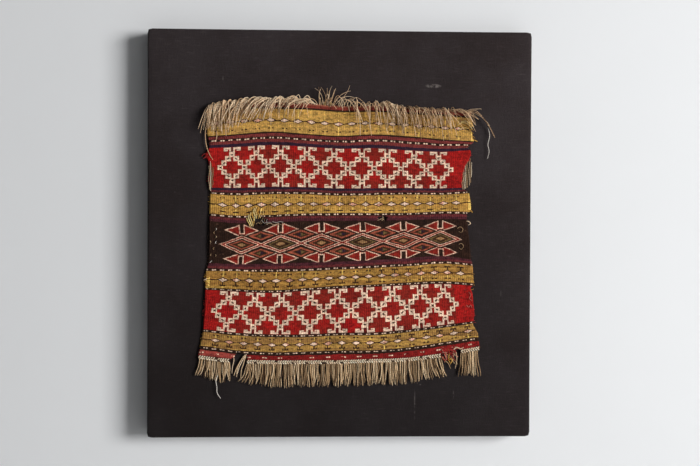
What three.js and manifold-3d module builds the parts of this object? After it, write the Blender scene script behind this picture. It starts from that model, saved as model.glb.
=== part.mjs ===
// A worn flatwoven fragment of a bag face, stitched to dark linen that is stretched over a wooden
// strainer. Millimetres, +Z up. The woven face looks along -Y and the wall lies at y = 0.
// The origin is on the wall plane, in the middle of the linen turned over the top bar's back.
import * as THREE from 'three';
import { mergeVertices } from 'three/addons/utils/BufferGeometryUtils.js';
import Module from 'manifold-3d';

const wasm = await Module();
wasm.setup();

// Panel: the linen and the strainer under it.
const PANEL_WIDTH = 560;
const PANEL_HEIGHT = 594;
const PANEL_DEPTH = 30;
const LINEN_THICK = 1;
const SIDE_PULL = 1.2;
const PULL_POWER = 6;
const TURNOVER = 26;
const MOUNT_DROP = 14;
const BAR_WIDTH = 42;
const BAR_BEVEL = 3;
const GAP = 0.3;

// Corners of the linen, counter-clockwise from the top right, as seen from the front.
const CORNERS = [
  { sideX: 1, sideZ: 1, radius: 5 },
  { sideX: -1, sideZ: 1, radius: 5 },
  { sideX: -1, sideZ: -1, radius: 3 },
  { sideX: 1, sideZ: -1, radius: 5 },
];
const CORNER_STEPS = 4;
const SIDE_STEPS = 10;

// Woven fragment: its thickness, its unevenness on the linen and the mesh over it.
const CLOTH_THICK = 2;
const RIPPLE_HEIGHT = 1.5;
const RIPPLE_ACROSS = 31;
const RIPPLE_UP = 43;
const CLOTH_COLUMNS = 20;
const CLOTH_ROWS = 44;
const CLOTH_LOW = -180;
const CLOTH_HIGH = 178;

// Edges of the fragment, from the middle of the panel: x across and z up.
const UPPER_EDGE = [
  { x: -195, z: 178 },
  { x: -175, z: 181 },
  { x: -150, z: 183 },
  { x: -100, z: 184 },
  { x: -50, z: 183 },
  { x: 5, z: 179.5 },
  { x: 50, z: 180.5 },
  { x: 100, z: 178 },
  { x: 150, z: 175.5 },
  { x: 195, z: 172 },
];
const LOWER_EDGE = [
  { x: -206, z: -176 },
  { x: -175, z: -180.5 },
  { x: -135, z: -183 },
  { x: -90, z: -184 },
  { x: 0, z: -183.5 },
  { x: 40, z: -182 },
  { x: 75, z: -181.5 },
  { x: 100, z: -180 },
  { x: 125, z: -177 },
  { x: 147, z: -174 },
  { x: 178, z: -168 },
  { x: 206, z: -163 },
];
const LEFT_EDGE = [
  { z: -180, x: -206 },
  { z: -155, x: -200.5 },
  { z: -140, x: -198.5 },
  { z: -100, x: -196 },
  { z: -80, x: -196 },
  { z: -52, x: -195 },
  { z: -40, x: -191 },
  { z: 20, x: -190 },
  { z: 66, x: -189 },
  { z: 76, x: -191.5 },
  { z: 96, x: -189.5 },
  { z: 106, x: -192 },
  { z: 114, x: -196.5 },
  { z: 122, x: -191 },
  { z: 130, x: -190 },
  { z: 145, x: -193.5 },
  { z: 165, x: -193 },
  { z: 178, x: -190 },
];
const RIGHT_EDGE = [
  { z: -180, x: 204.5 },
  { z: -160, x: 202 },
  { z: -146, x: 194.5 },
  { z: -130, x: 197 },
  { z: -92, x: 193.5 },
  { z: -84, x: 190.5 },
  { z: -78, x: 195 },
  { z: -56, x: 194 },
  { z: -40, x: 191.5 },
  { z: -6, x: 188 },
  { z: 16, x: 185 },
  { z: 26, x: 184 },
  { z: 34, x: 191 },
  { z: 50, x: 189 },
  { z: 60, x: 187 },
  { z: 64, x: 179 },
  { z: 72, x: 187 },
  { z: 85, x: 191 },
  { z: 118, x: 191 },
  { z: 124, x: 189 },
  { z: 129, x: 185 },
  { z: 140, x: 195 },
  { z: 156, x: 191 },
  { z: 161, x: 185 },
  { z: 164, x: 194 },
  { z: 178, x: 188 },
];

// Places where the weaving is worn through or torn away, each a ragged oval.
const LOSSES = [
  { x: -119, z: 19, halfWidth: 11, halfHeight: 6.5 },
  { x: 62, z: 23.5, halfWidth: 7, halfHeight: 3.5 },
  { x: -146, z: -183, halfWidth: 10.5, halfHeight: 10.5 },
  { x: 167, z: -175, halfWidth: 11, halfHeight: 8 },
];
const LOSS_POINTS = 15;
const LOSS_RAGGED = 0.25;

// Fringes: a narrow woven or twined strip along the cloth's edge with the warp ends fused into it.
const STRAND_RADIUS = 0.9;
const STRAND_SIDES = 3;
const UPPER_STRIP = { height: 6.5, thick: 2.4, columns: 20 };
const UPPER_STRANDS = { count: 84, steps: 6, run: 9.5 };
const LOWER_STRIP = { height: 5, thick: 2.6 };
const LOWER_STRANDS = { pitch: 3.45, steps: 3, run: 1.2 };
const ROOT_DEPTH = 1.5;
const UPPER_UNEVEN = 8;
const LOWER_UNEVEN = 5;

// The upper warp ends spring up from the strip, part in the middle and fall over the woven face.
// sweep is the sideways reach of the tip, spring the arch and drop the fall of the tip.
const UPPER_FALL = [
  { x: -190, sweep: -16, spring: 8, drop: 32 },
  { x: -176, sweep: -8, spring: 10, drop: 40 },
  { x: -150, sweep: -12, spring: 11, drop: 33 },
  { x: -120, sweep: -18, spring: 13, drop: 32 },
  { x: -90, sweep: -20, spring: 14, drop: 26 },
  { x: -60, sweep: -20, spring: 14, drop: 12 },
  { x: -36, sweep: -21, spring: 15, drop: 9 },
  { x: -28, sweep: -8, spring: 3, drop: -14 },
  { x: -18, sweep: 2, spring: 3, drop: -14 },
  { x: -8, sweep: 14, spring: 14, drop: 5 },
  { x: 15, sweep: 15, spring: 14, drop: 28 },
  { x: 40, sweep: 11, spring: 13, drop: 30 },
  { x: 60, sweep: 11, spring: 13, drop: 31 },
  { x: 80, sweep: 5, spring: 9, drop: 36 },
  { x: 95, sweep: 3, spring: 8, drop: 39 },
  { x: 120, sweep: 8, spring: 8, drop: 33 },
  { x: 145, sweep: 14, spring: 8, drop: 30 },
  { x: 160, sweep: 18, spring: 8, drop: 27 },
  { x: 176, sweep: 26, spring: 7, drop: 14 },
  { x: 188, sweep: 32, spring: 7, drop: 24 },
];

// The lower warp ends hang from three stretches of twined heading.
// drift is the sideways reach of the tip and tip its height.
const LOWER_FALLS = [
  {
    name: 'fringe_lower_left',
    from: -205,
    to: -159,
    columns: 4,
    rows: [
      { x: -205, drift: -7, tip: -205 },
      { x: -190, drift: -3, tip: -209 },
      { x: -175, drift: -1, tip: -217 },
      { x: -159, drift: 0, tip: -213 },
    ],
  },
  {
    name: 'fringe_lower_middle',
    from: -135,
    to: 148,
    columns: 14,
    rows: [
      { x: -135, drift: -15, tip: -214 },
      { x: -127, drift: -7, tip: -219 },
      { x: -118, drift: -2, tip: -219 },
      { x: -95, drift: -1, tip: -222 },
      { x: 25, drift: 0, tip: -220 },
      { x: 75, drift: 0, tip: -219 },
      { x: 112, drift: 1, tip: -216 },
      { x: 125, drift: 4, tip: -211 },
      { x: 148, drift: 12, tip: -208 },
    ],
  },
  {
    name: 'fringe_lower_right',
    from: 177,
    to: 203,
    columns: 3,
    rows: [
      { x: 177, drift: -3, tip: -207 },
      { x: 190, drift: 0, tip: -205 },
      { x: 203, drift: 3, tip: -210 },
    ],
  },
];

const lerp = THREE.MathUtils.lerp;

// Value of a column between the two rows of a table that lie around a place along its key.
function along(rows, key, place, column) {
  const last = rows.length - 1;
  const after = rows.findIndex((row) => row[key] >= place);
  if (after === 0) return rows[0][column];
  if (after < 0) return rows[last][column];
  const low = rows[after - 1];
  const high = rows[after];
  return lerp(low[column], high[column], (place - low[key]) / (high[key] - low[key]));
}

// Repeatable unevenness between -0.5 and 0.5 for the piece of a given number.
function uneven(number) {
  const wave = Math.sin(number * 12.9898) * 43758.5453;
  return wave - Math.floor(wave) - 0.5;
}

// A closed solid for joining and cutting, from a geometry whose shared points are merged.
function solidOf(geometry) {
  const bare = geometry.clone();
  bare.deleteAttribute('normal');
  bare.deleteAttribute('uv');
  const merged = mergeVertices(bare);
  const vertProperties = new Float32Array(merged.attributes.position.array);
  const triVerts = new Uint32Array(merged.index.array);
  return new wasm.Manifold(new wasm.Mesh({ numProp: 3, vertProperties, triVerts }));
}

// The geometry of a joined or cut solid.
function geometryOf(solid) {
  const mesh = solid.getMesh();
  const geometry = new THREE.BufferGeometry();
  geometry.setAttribute('position', new THREE.BufferAttribute(new Float32Array(mesh.vertProperties), 3));
  geometry.setIndex(new THREE.BufferAttribute(new Uint32Array(mesh.triVerts), 1));
  geometry.computeVertexNormals();
  return geometry;
}

// A flat outline, x across and z up, extruded from y = -near towards the front to y = -far.
function plate(points, near, far) {
  const shape = new THREE.Shape(points);
  const geometry = new THREE.ExtrudeGeometry(shape, { depth: far - near, bevelEnabled: false });
  geometry.rotateX(Math.PI / 2);
  geometry.translate(0, -near, 0);
  return geometry;
}

// A slab whose front and back are grids, placed by how far a point lies across, up and back.
function slab(columns, rows, place) {
  const geometry = new THREE.BoxGeometry(1, 1, 1, columns, 1, rows);
  const spots = geometry.attributes.position;
  for (let i = 0; i < spots.count; i += 1) {
    const placed = place(spots.getX(i) + 0.5, spots.getZ(i) + 0.5, spots.getY(i) + 0.5);
    spots.setXYZ(i, placed.x, placed.y, placed.z);
  }
  return geometry;
}

// Outline of the linen, drawn in between its corners and moved inwards by inset.
function linenOutline(inset) {
  const points = [];
  const centres = CORNERS.map(({ sideX, sideZ, radius }) => ({
    x: sideX * (PANEL_WIDTH / 2 - radius),
    z: sideZ * (PANEL_HEIGHT / 2 - radius),
    reach: radius - inset,
  }));
  centres.forEach((centre, index) => {
    for (let step = 0; step <= CORNER_STEPS; step += 1) {
      const angle = (index + step / CORNER_STEPS) * (Math.PI / 2);
      const x = centre.x + centre.reach * Math.cos(angle);
      const z = centre.z + centre.reach * Math.sin(angle);
      points.push(new THREE.Vector2(x, z));
    }
    const next = centres[(index + 1) % centres.length];
    const inwards = (index + 1) * (Math.PI / 2);
    const start = points[points.length - 1].clone();
    const end = new THREE.Vector2(
      next.x + next.reach * Math.cos(inwards),
      next.z + next.reach * Math.sin(inwards),
    );
    for (let step = 1; step < SIDE_STEPS; step += 1) {
      const share = step / SIDE_STEPS;
      const pull = SIDE_PULL * (1 - Math.abs(2 * share - 1) ** PULL_POWER);
      const point = start.clone().lerp(end, share);
      point.x -= pull * Math.cos(inwards);
      point.y -= pull * Math.sin(inwards);
      points.push(point);
    }
  });
  return points;
}

// Linen: the front, the four sides and the turned-over margin on the back, open in the middle.
function linenCover() {
  const windowX = PANEL_WIDTH / 2 - TURNOVER;
  const windowZ = PANEL_HEIGHT / 2 - TURNOVER;
  const window = [
    new THREE.Vector2(-windowX, -windowZ),
    new THREE.Vector2(windowX, -windowZ),
    new THREE.Vector2(windowX, windowZ),
    new THREE.Vector2(-windowX, windowZ),
  ];
  const outside = solidOf(plate(linenOutline(0), 0, PANEL_DEPTH));
  const inside = solidOf(plate(linenOutline(LINEN_THICK), LINEN_THICK, PANEL_DEPTH - LINEN_THICK));
  const opening = solidOf(plate(window, -LINEN_THICK, PANEL_DEPTH / 2));
  return geometryOf(outside.subtract(inside).subtract(opening));
}

// One mitred bar lying along x with its outer edge up; its front slopes back from that edge.
function strainerBar(length) {
  const inset = LINEN_THICK + GAP;
  return slab(1, 1, (across, up, back) => {
    const inwards = 1 - up;
    const half = length / 2 - inwards * BAR_WIDTH;
    const front = inset - PANEL_DEPTH + inwards * BAR_BEVEL;
    return new THREE.Vector3((2 * across - 1) * half, lerp(front, -inset, back), -inwards * BAR_WIDTH);
  });
}

// How far the cloth stands off the linen at a place on the panel.
function ripple(x, z) {
  const across = Math.sin(x / RIPPLE_ACROSS + z / RIPPLE_UP);
  const up = Math.cos(z / RIPPLE_ACROSS - x / (3 * RIPPLE_UP));
  return (RIPPLE_HEIGHT / 2) * (1 + across * up);
}

// Depth of the face of a piece that lies on the linen.
function lying(x, z, thick, back) {
  return -(PANEL_DEPTH + GAP + ripple(x, z) + thick * (1 - back));
}

// A ragged oval through the cloth.
function lossPlug({ x, z, halfWidth, halfHeight }) {
  const points = [];
  for (let i = 0; i < LOSS_POINTS; i += 1) {
    const angle = (i / LOSS_POINTS) * 2 * Math.PI;
    const ragged = 1 + LOSS_RAGGED * uneven(i + x);
    const across = x + halfWidth * ragged * Math.cos(angle);
    const up = z + halfHeight * ragged * Math.sin(angle);
    points.push(new THREE.Vector2(across, up));
  }
  return plate(points, 0, 2 * PANEL_DEPTH);
}

// The woven fragment: one sheet with its worn outline, its ripples and its losses.
function wovenFragment() {
  const sheet = slab(CLOTH_COLUMNS, CLOTH_ROWS, (across, up, back) => {
    const level = lerp(CLOTH_LOW, CLOTH_HIGH, up);
    const x = lerp(along(LEFT_EDGE, 'z', level, 'x'), along(RIGHT_EDGE, 'z', level, 'x'), across);
    const low = along(LOWER_EDGE, 'x', x, 'z') + GAP;
    const high = along(UPPER_EDGE, 'x', x, 'z') - GAP;
    const z = lerp(low, high, up);
    return new THREE.Vector3(x, lying(x, z, CLOTH_THICK, back), z);
  });
  const whole = solidOf(sheet);
  const worn = LOSSES.reduce((cloth, loss) => cloth.subtract(solidOf(lossPlug(loss))), whole);
  return geometryOf(worn);
}

// A strip along an edge of the cloth, between x = from and x = to.
function edgeStrip(edge, from, to, below, above, thick, columns) {
  return slab(columns, 1, (across, up, back) => {
    const x = lerp(from, to, across);
    const z = along(edge, 'x', x, 'z') + lerp(below, above, up);
    return new THREE.Vector3(x, lying(x, z, thick, back), z);
  });
}

// A warp end: a thin three-sided strand through the points of its fall.
function strand(fall, steps) {
  const corners = [];
  for (let side = 0; side < STRAND_SIDES; side += 1) {
    const angle = (side / STRAND_SIDES) * 2 * Math.PI;
    corners.push(new THREE.Vector2(STRAND_RADIUS * Math.cos(angle), STRAND_RADIUS * Math.sin(angle)));
  }
  const points = [];
  for (let step = 0; step <= steps; step += 1) {
    points.push(fall(step / steps));
  }
  const extrudePath = new THREE.CatmullRomCurve3(points);
  return new THREE.ExtrudeGeometry(new THREE.Shape(corners), { steps, extrudePath, bevelEnabled: false });
}

// A strip with its strands fused into it.
function fringe(strip, strands) {
  return geometryOf(strands.reduce((whole, one) => whole.add(solidOf(one)), solidOf(strip)));
}

// Upper fringe: the end stripe of the weaving with the warp ends that fall over it.
function upperFringe() {
  const from = along(LEFT_EDGE, 'z', CLOTH_HIGH, 'x');
  const to = along(RIGHT_EDGE, 'z', CLOTH_HIGH, 'x');
  const { height, thick, columns } = UPPER_STRIP;
  const strip = edgeStrip(UPPER_EDGE, from, to, 0, height, thick, columns);
  const { count, steps, run } = UPPER_STRANDS;
  const strands = [];
  for (let i = 0; i < count; i += 1) {
    const x = lerp(from, to, (i + 0.5) / count);
    const root = along(UPPER_EDGE, 'x', x, 'z') + height - ROOT_DEPTH;
    const depth = lying(x, root, thick, 0.5);
    const sweep = along(UPPER_FALL, 'x', x, 'sweep');
    const spring = along(UPPER_FALL, 'x', x, 'spring') + uneven(i);
    const drop = along(UPPER_FALL, 'x', x, 'drop') + UPPER_UNEVEN * uneven(i + count);
    const fall = (share) => new THREE.Vector3(
      x + sweep * share,
      depth - run * (1 - (1 - share) ** 2),
      root + 4 * spring * share * (1 - share) - drop * share ** 2,
    );
    strands.push(strand(fall, steps));
  }
  return fringe(strip, strands);
}

// One stretch of the lower fringe: its twined heading and the warp ends that hang from it.
function lowerFringe({ from, to, columns, rows }) {
  const { height, thick } = LOWER_STRIP;
  const strip = edgeStrip(LOWER_EDGE, from, to, -height, 0, thick, columns);
  const { pitch, steps, run } = LOWER_STRANDS;
  const count = Math.round((to - from) / pitch);
  const strands = [];
  for (let i = 0; i < count; i += 1) {
    const x = lerp(from, to, (i + 0.5) / count);
    const root = along(LOWER_EDGE, 'x', x, 'z') - height + ROOT_DEPTH;
    const depth = lying(x, root, thick, 0.5);
    const drift = along(rows, 'x', x, 'drift');
    const tip = along(rows, 'x', x, 'tip') + LOWER_UNEVEN * uneven(i + from);
    const fall = (share) => new THREE.Vector3(
      x + drift * share ** 2,
      depth - run * share,
      lerp(root, tip, share),
    );
    strands.push(strand(fall, steps));
  }
  return fringe(strip, strands);
}

const linen = new THREE.MeshStandardMaterial({ color: 0x2c2729, roughness: 0.9, metalness: 0 });
const pine = new THREE.MeshStandardMaterial({ color: 0xc9a878, roughness: 0.7, metalness: 0 });
const weaving = new THREE.MeshStandardMaterial({ color: 0x8a2a24, roughness: 0.95, metalness: 0 });
const warp = new THREE.MeshStandardMaterial({ color: 0xb8a083, roughness: 0.95, metalness: 0 });

function piece(name, geometry, material) {
  const mesh = new THREE.Mesh(geometry, material);
  mesh.name = name;
  return mesh;
}

// Strainer: four bars inside the linen, each turned so that its outer edge faces out.
function strainer() {
  const group = new THREE.Group();
  const inset = SIDE_PULL + LINEN_THICK + GAP;
  const width = PANEL_WIDTH - 2 * inset;
  const height = PANEL_HEIGHT - 2 * inset;
  const mitre = GAP * Math.SQRT2;
  const bars = [
    { name: 'strainer_top', length: width, turn: 0, x: 0, z: height / 2 },
    { name: 'strainer_bottom', length: width, turn: Math.PI, x: 0, z: -height / 2 },
    { name: 'strainer_left', length: height, turn: -Math.PI / 2, x: -width / 2, z: 0 },
    { name: 'strainer_right', length: height, turn: Math.PI / 2, x: width / 2, z: 0 },
  ];
  for (const { name, length, turn, x, z } of bars) {
    const bar = piece(name, strainerBar(length - mitre), pine);
    bar.rotation.y = turn;
    bar.position.set(x, 0, z);
    group.add(bar);
  }
  return group;
}

const panel = new THREE.Group();
panel.add(piece('linen_cover', linenCover(), linen));
panel.add(strainer());
panel.add(piece('woven_fragment', wovenFragment(), weaving));
panel.add(piece('fringe_upper', upperFringe(), warp));
for (const stretch of LOWER_FALLS) {
  panel.add(piece(stretch.name, lowerFringe(stretch), warp));
}
panel.position.z = MOUNT_DROP - PANEL_HEIGHT / 2;

const framedFragment = new THREE.Group();
framedFragment.add(panel);

export default framedFragment;
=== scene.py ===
"""A worn flatwoven fragment on a linen-covered strainer panel, dressed for the camera.

Metres, +Z up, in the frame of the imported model: the woven face looks along -Y and the wall is y = 0.
The tables are in millimetres from the middle of the panel's front, x across and z up.
"""

import logging
import math
from dataclasses import dataclass, field
from enum import Enum
from typing import Sequence

import bpy
import numpy as np
from mathutils import Matrix, Vector


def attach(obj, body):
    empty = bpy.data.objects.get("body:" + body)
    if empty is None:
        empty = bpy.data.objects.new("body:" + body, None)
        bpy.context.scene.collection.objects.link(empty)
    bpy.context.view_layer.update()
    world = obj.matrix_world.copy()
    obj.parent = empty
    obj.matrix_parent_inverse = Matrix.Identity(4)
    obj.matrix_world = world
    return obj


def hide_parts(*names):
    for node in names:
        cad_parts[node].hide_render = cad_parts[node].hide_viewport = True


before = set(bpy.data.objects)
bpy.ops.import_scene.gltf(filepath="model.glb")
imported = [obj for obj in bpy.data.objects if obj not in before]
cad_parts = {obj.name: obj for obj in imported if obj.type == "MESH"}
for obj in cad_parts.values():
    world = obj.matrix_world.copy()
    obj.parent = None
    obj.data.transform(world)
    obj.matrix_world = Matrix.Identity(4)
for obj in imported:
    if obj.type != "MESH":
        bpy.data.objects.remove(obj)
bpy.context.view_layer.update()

LOG = logging.getLogger("fragment")
MM = 0.001
FRONT_DEPTH = 30.0
PANEL_MIDDLE = -283.0
CLOTH_LIFT = 0.3
CLOTH_THICK = 2.0
UV_NAME = "weave"
TINT_NAME = "tint"
LIGHT_LEVEL = 0.80
STITCH_WIDE = 0.9
STITCH_TALL = 0.6
RIB_PITCH = 2.9
ROW_PITCH = 1.1
FAR_OFF = -999.0

Colour = tuple[float, float, float, float]
Row = tuple[float, ...]

# Places across the panel where the courses of the bands are given.
STATIONS = (-200.0, -150.0, -100.0, -50.0, 0.0, 50.0, 100.0, 150.0, 195.0)

# Side edges of the fragment: height, then x.
LEFT_EDGE = (
    (-180, -206), (-155, -200.5), (-140, -198.5), (-100, -196), (-80, -196), (-52, -195),
    (-40, -191), (20, -190), (66, -189), (76, -191.5), (96, -189.5), (106, -192),
    (114, -196.5), (122, -191), (130, -190), (145, -193.5), (165, -193), (178, -190),
)
RIGHT_EDGE = (
    (-180, 204.5), (-160, 202), (-146, 194.5), (-130, 197), (-92, 193.5), (-84, 190.5),
    (-78, 195), (-56, 194), (-40, 191.5), (-6, 188), (16, 185), (26, 184), (34, 191),
    (50, 189), (60, 187), (64, 177), (72, 176.5), (90, 179), (100, 182), (108, 187), (118, 191),
    (124, 189), (129, 185), (140, 195), (156, 191), (161, 185), (164, 194), (178, 188),
)
# How the outermost warps run: distance from the top, x at the left and x at the right.
WARP_LINES = (
    (0, -192, 191), (90, -191, 190.5), (190, -190.5, 190), (260, -196, 194.5), (364, -206, 205),
)
# Ends of the fragment: x, then height.
UPPER_EDGE = (
    (-195, 178), (-175, 181), (-150, 183), (-100, 184), (-50, 183), (5, 179.5), (50, 180.5),
    (100, 178), (150, 175.5), (195, 172),
)
LOWER_EDGE = (
    (-206, -176), (-175, -180.5), (-135, -183), (-90, -184), (0, -183.5), (40, -182),
    (75, -181.5), (100, -180), (125, -177), (147, -174), (178, -168), (206, -163),
)
# Worn-through places: x, height, half the width and half the height.
LOSSES = (
    (-119, 19, 11, 6.5), (62, 23.5, 7, 3.5), (-146, -183, 10.5, 10.5), (167, -175, 11, 8),
)


def dye(red: float, green: float, blue: float) -> Colour:
    """Linear colour of a yarn or cloth.

    Args:
        red: Red of the lit surface, 0 to 255.
        green: Green of the lit surface, 0 to 255.
        blue: Blue of the lit surface, 0 to 255.

    Returns:
        The colour before light falls on it, with full alpha.
    """
    share = (np.array((red, green, blue)) / 255.0 + 0.055) / 1.055
    linear = np.minimum(share**2.4 / LIGHT_LEVEL, 0.92)
    return (float(linear[0]), float(linear[1]), float(linear[2]), 1.0)


def smooth_curve(places: Sequence[float], values: Sequence[float], at: np.ndarray) -> np.ndarray:
    """Smooth curve through the values at some places.

    Args:
        places: Rising places.
        values: Value at each place.
        at: Where the curve is read; beyond the ends it stays level.

    Returns:
        The curve at those places.
    """
    known, heights = np.asarray(places, float), np.asarray(values, float)
    slopes = np.gradient(heights, known)
    i = np.clip(np.searchsorted(known, at) - 1, 0, len(known) - 2)
    width = known[i + 1] - known[i]
    t = np.clip((at - known[i]) / width, 0.0, 1.0)
    first = heights[i] * (1 + 2 * t) * (1 - t) ** 2 + slopes[i] * width * t * (1 - t) ** 2
    last = heights[i + 1] * t**2 * (3 - 2 * t) + slopes[i + 1] * width * t**2 * (t - 1)
    return first + last


def table_curve(table: Sequence[Row], at: np.ndarray | float, column: int = 1) -> np.ndarray:
    """Straight runs between the rows of a table.

    Args:
        table: Rows whose first number rises.
        at: Where the table is read.
        column: Which number of the row is wanted.

    Returns:
        The column at those places.
    """
    return np.interp(at, [row[0] for row in table], [row[column] for row in table])


def ripple(x: np.ndarray, z: np.ndarray) -> np.ndarray:
    """How far the fragment stands off the linen, in millimetres, from its unevenness.

    Args:
        x: Places across the panel.
        z: Places up the panel.

    Returns:
        The lift at each place.
    """
    return 0.75 * (1 + np.sin(x / 31 + z / 43) * np.cos(z / 31 - x / 129))


def face_depth(x: np.ndarray, z: np.ndarray, thick: float = CLOTH_THICK) -> np.ndarray:
    """y of the front of something that lies on the linen, in millimetres.

    Args:
        x: Places across the panel.
        z: Places up the panel.
        thick: Thickness of what lies there.

    Returns:
        y at each place.
    """
    return -(FRONT_DEPTH + CLOTH_LIFT + ripple(x, z) + thick)


class Field:
    """A shader value that takes part in arithmetic, each step one Math node."""

    def __init__(self, shader: "Shader", socket: bpy.types.NodeSocket) -> None:
        """Keeps the socket and the shader that it belongs to."""
        self.shader = shader
        self.socket = socket

    def __add__(self, other: "Field | float") -> "Field":
        """Sum."""
        return self.shader.math("ADD", self, other)

    def __radd__(self, other: float) -> "Field":
        """Sum with a number first."""
        return self.shader.math("ADD", other, self)

    def __sub__(self, other: "Field | float") -> "Field":
        """Difference."""
        return self.shader.math("SUBTRACT", self, other)

    def __rsub__(self, other: float) -> "Field":
        """Difference with a number first."""
        return self.shader.math("SUBTRACT", other, self)

    def __mul__(self, other: "Field | float") -> "Field":
        """Product."""
        return self.shader.math("MULTIPLY", self, other)

    def __rmul__(self, other: float) -> "Field":
        """Product with a number first."""
        return self.shader.math("MULTIPLY", other, self)

    def __truediv__(self, other: "Field | float") -> "Field":
        """Quotient."""
        return self.shader.math("DIVIDE", self, other)

    def __rtruediv__(self, other: float) -> "Field":
        """Quotient with a number first."""
        return self.shader.math("DIVIDE", other, self)

    def __abs__(self) -> "Field":
        """Size without sign."""
        return self.shader.math("ABSOLUTE", self)

    def __lt__(self, other: "Field | float") -> "Field":
        """Mask of what is less."""
        return self.shader.math("LESS_THAN", self, other)

    def __gt__(self, other: "Field | float") -> "Field":
        """Mask of what is more."""
        return self.shader.math("GREATER_THAN", self, other)

    def __and__(self, other: "Field") -> "Field":
        """Mask of what is in both."""
        return self.shader.math("MINIMUM", self, other)

    def __or__(self, other: "Field") -> "Field":
        """Mask of what is in either."""
        return self.shader.math("MAXIMUM", self, other)

    def __invert__(self) -> "Field":
        """Mask of what is outside."""
        return 1.0 - self

    def floor(self) -> "Field":
        """Whole number below."""
        return self.shader.math("FLOOR", self)

    def sine(self) -> "Field":
        """Sine of the value in radians."""
        return self.shader.math("SINE", self)

    def clamp(self, low: float, high: float) -> "Field":
        """The value held between two numbers."""
        return self.shader.math("MINIMUM", self.shader.math("MAXIMUM", self, low), high)

    def between(self, low: float, high: float) -> "Field":
        """Mask of what lies between two numbers."""
        return (self > low) & (self < high)

    def near(self, place: float, reach: float) -> "Field":
        """Mask of what lies within a reach of a place."""
        return abs(self - place) < reach

    def wrap(self, period: float) -> "Field":
        """The value within its period."""
        return self - (self / period).floor() * period

    def ramp(self, low: float, high: float) -> "Field":
        """0 at low, 1 at high, straight between."""
        return ((self - low) / (high - low)).clamp(0.0, 1.0)


Paint = bpy.types.NodeSocket | Colour


class Shader:
    """A procedural material and the few node steps that the finishes use."""

    def __init__(self, name: str) -> None:
        """Starts an empty material.

        Args:
            name: Name of the material.
        """
        self.material = bpy.data.materials.new(name)
        self.material.use_nodes = True
        self.tree = self.material.node_tree
        self.tree.nodes.clear()

    def node(
        self,
        kind: str,
        settings: dict[str, object] | None = None,
        inputs: dict[str | int, object] | None = None,
    ) -> bpy.types.Node:
        """Adds one node.

        Args:
            kind: Type name of the node.
            settings: Node settings, set first.
            inputs: Numbers, colours or links by input name or index.

        Returns:
            The node.
        """
        made = self.tree.nodes.new(kind)
        for name, value in (settings or {}).items():
            setattr(made, name, value)
        for key, value in (inputs or {}).items():
            source = value.socket if isinstance(value, Field) else value
            if isinstance(source, bpy.types.NodeSocket):
                self.tree.links.new(source, made.inputs[key])
            else:
                made.inputs[key].default_value = source
        return made

    def math(self, operation: str, *values: "Field | float") -> Field:
        """One Math node over numbers and fields."""
        made = self.node("ShaderNodeMath", {"operation": operation}, dict(enumerate(values)))
        return Field(self, made.outputs[0])

    def place(self, stretch: tuple[float, float, float] = (1.0, 1.0, 1.0)) -> bpy.types.NodeSocket:
        """Object coordinates, stretched along each axis.

        Args:
            stretch: Factor for each axis.

        Returns:
            The vector socket.
        """
        spot = self.node("ShaderNodeTexCoord").outputs["Object"]
        return self.node("ShaderNodeVectorMath", {"operation": "MULTIPLY"}, {0: spot, 1: stretch}).outputs[0]

    def axis(self, vector: bpy.types.NodeSocket, index: int) -> Field:
        """One coordinate of a vector."""
        return Field(self, self.node("ShaderNodeSeparateXYZ", None, {0: vector}).outputs[index])

    def noise(
        self,
        scale: float,
        detail: float = 2.0,
        stretch: tuple[float, float, float] = (1.0, 1.0, 1.0),
    ) -> Field:
        """Soft noise over the object, about 0.3 to 0.7.

        Args:
            scale: Blotches in a metre.
            detail: Octaves.
            stretch: Factor for each axis, to draw the blotches out.

        Returns:
            The noise.
        """
        inputs = {"Vector": self.place(stretch), "Scale": scale, "Detail": detail, "Roughness": 0.6}
        return Field(self, self.node("ShaderNodeTexNoise", None, inputs).outputs[0])

    def cloth_place(self) -> tuple[Field, Field]:
        """Place in the piece's own map, in millimetres."""
        spot = self.node("ShaderNodeUVMap", {"uv_map": UV_NAME}).outputs[0]
        return self.axis(spot, 0) * 1000.0, self.axis(spot, 1) * 1000.0

    def tint(self) -> Field:
        """The piece's own tint, 0 to 1, which differs from yarn to yarn."""
        return Field(self, self.node("ShaderNodeAttribute", {"attribute_name": TINT_NAME}).outputs["Fac"])

    def mix(self, below: Paint, above: Paint, share: Field | float) -> bpy.types.NodeSocket:
        """One colour over another by a share."""
        inputs = {0: share, 6: below, 7: above}
        return self.node("ShaderNodeMix", {"data_type": "RGBA"}, inputs).outputs[2]

    def scaled(self, colour: bpy.types.NodeSocket, amount: Field) -> bpy.types.NodeSocket:
        """A colour made lighter or darker."""
        inputs = {0: colour, "Scale": amount}
        return self.node("ShaderNodeVectorMath", {"operation": "SCALE"}, inputs).outputs[0]

    def cover(
        self,
        colour: Paint,
        roughness: Field | float,
        height: Field,
        distance: float,
        sheen: float = 0.0,
    ) -> bpy.types.Material:
        """Closes the material with one rough surface.

        Args:
            colour: Base colour.
            roughness: Roughness.
            height: Relief, about 0 to 1.
            distance: Depth of the relief in metres.
            sheen: Weight of the soft fuzz.

        Returns:
            The material.
        """
        bump = self.node("ShaderNodeBump", None, {"Height": height, "Distance": distance, "Strength": 1.0})
        inputs = {
            "Base Color": colour,
            "Roughness": roughness,
            "Normal": bump.outputs[0],
            "Specular IOR Level": 0.15,
            "Sheen Weight": sheen,
            "Sheen Roughness": 0.5,
        }
        surface = self.node("ShaderNodeBsdfPrincipled", None, inputs)
        self.node("ShaderNodeOutputMaterial", None, {"Surface": surface.outputs[0]})
        return self.material


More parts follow.
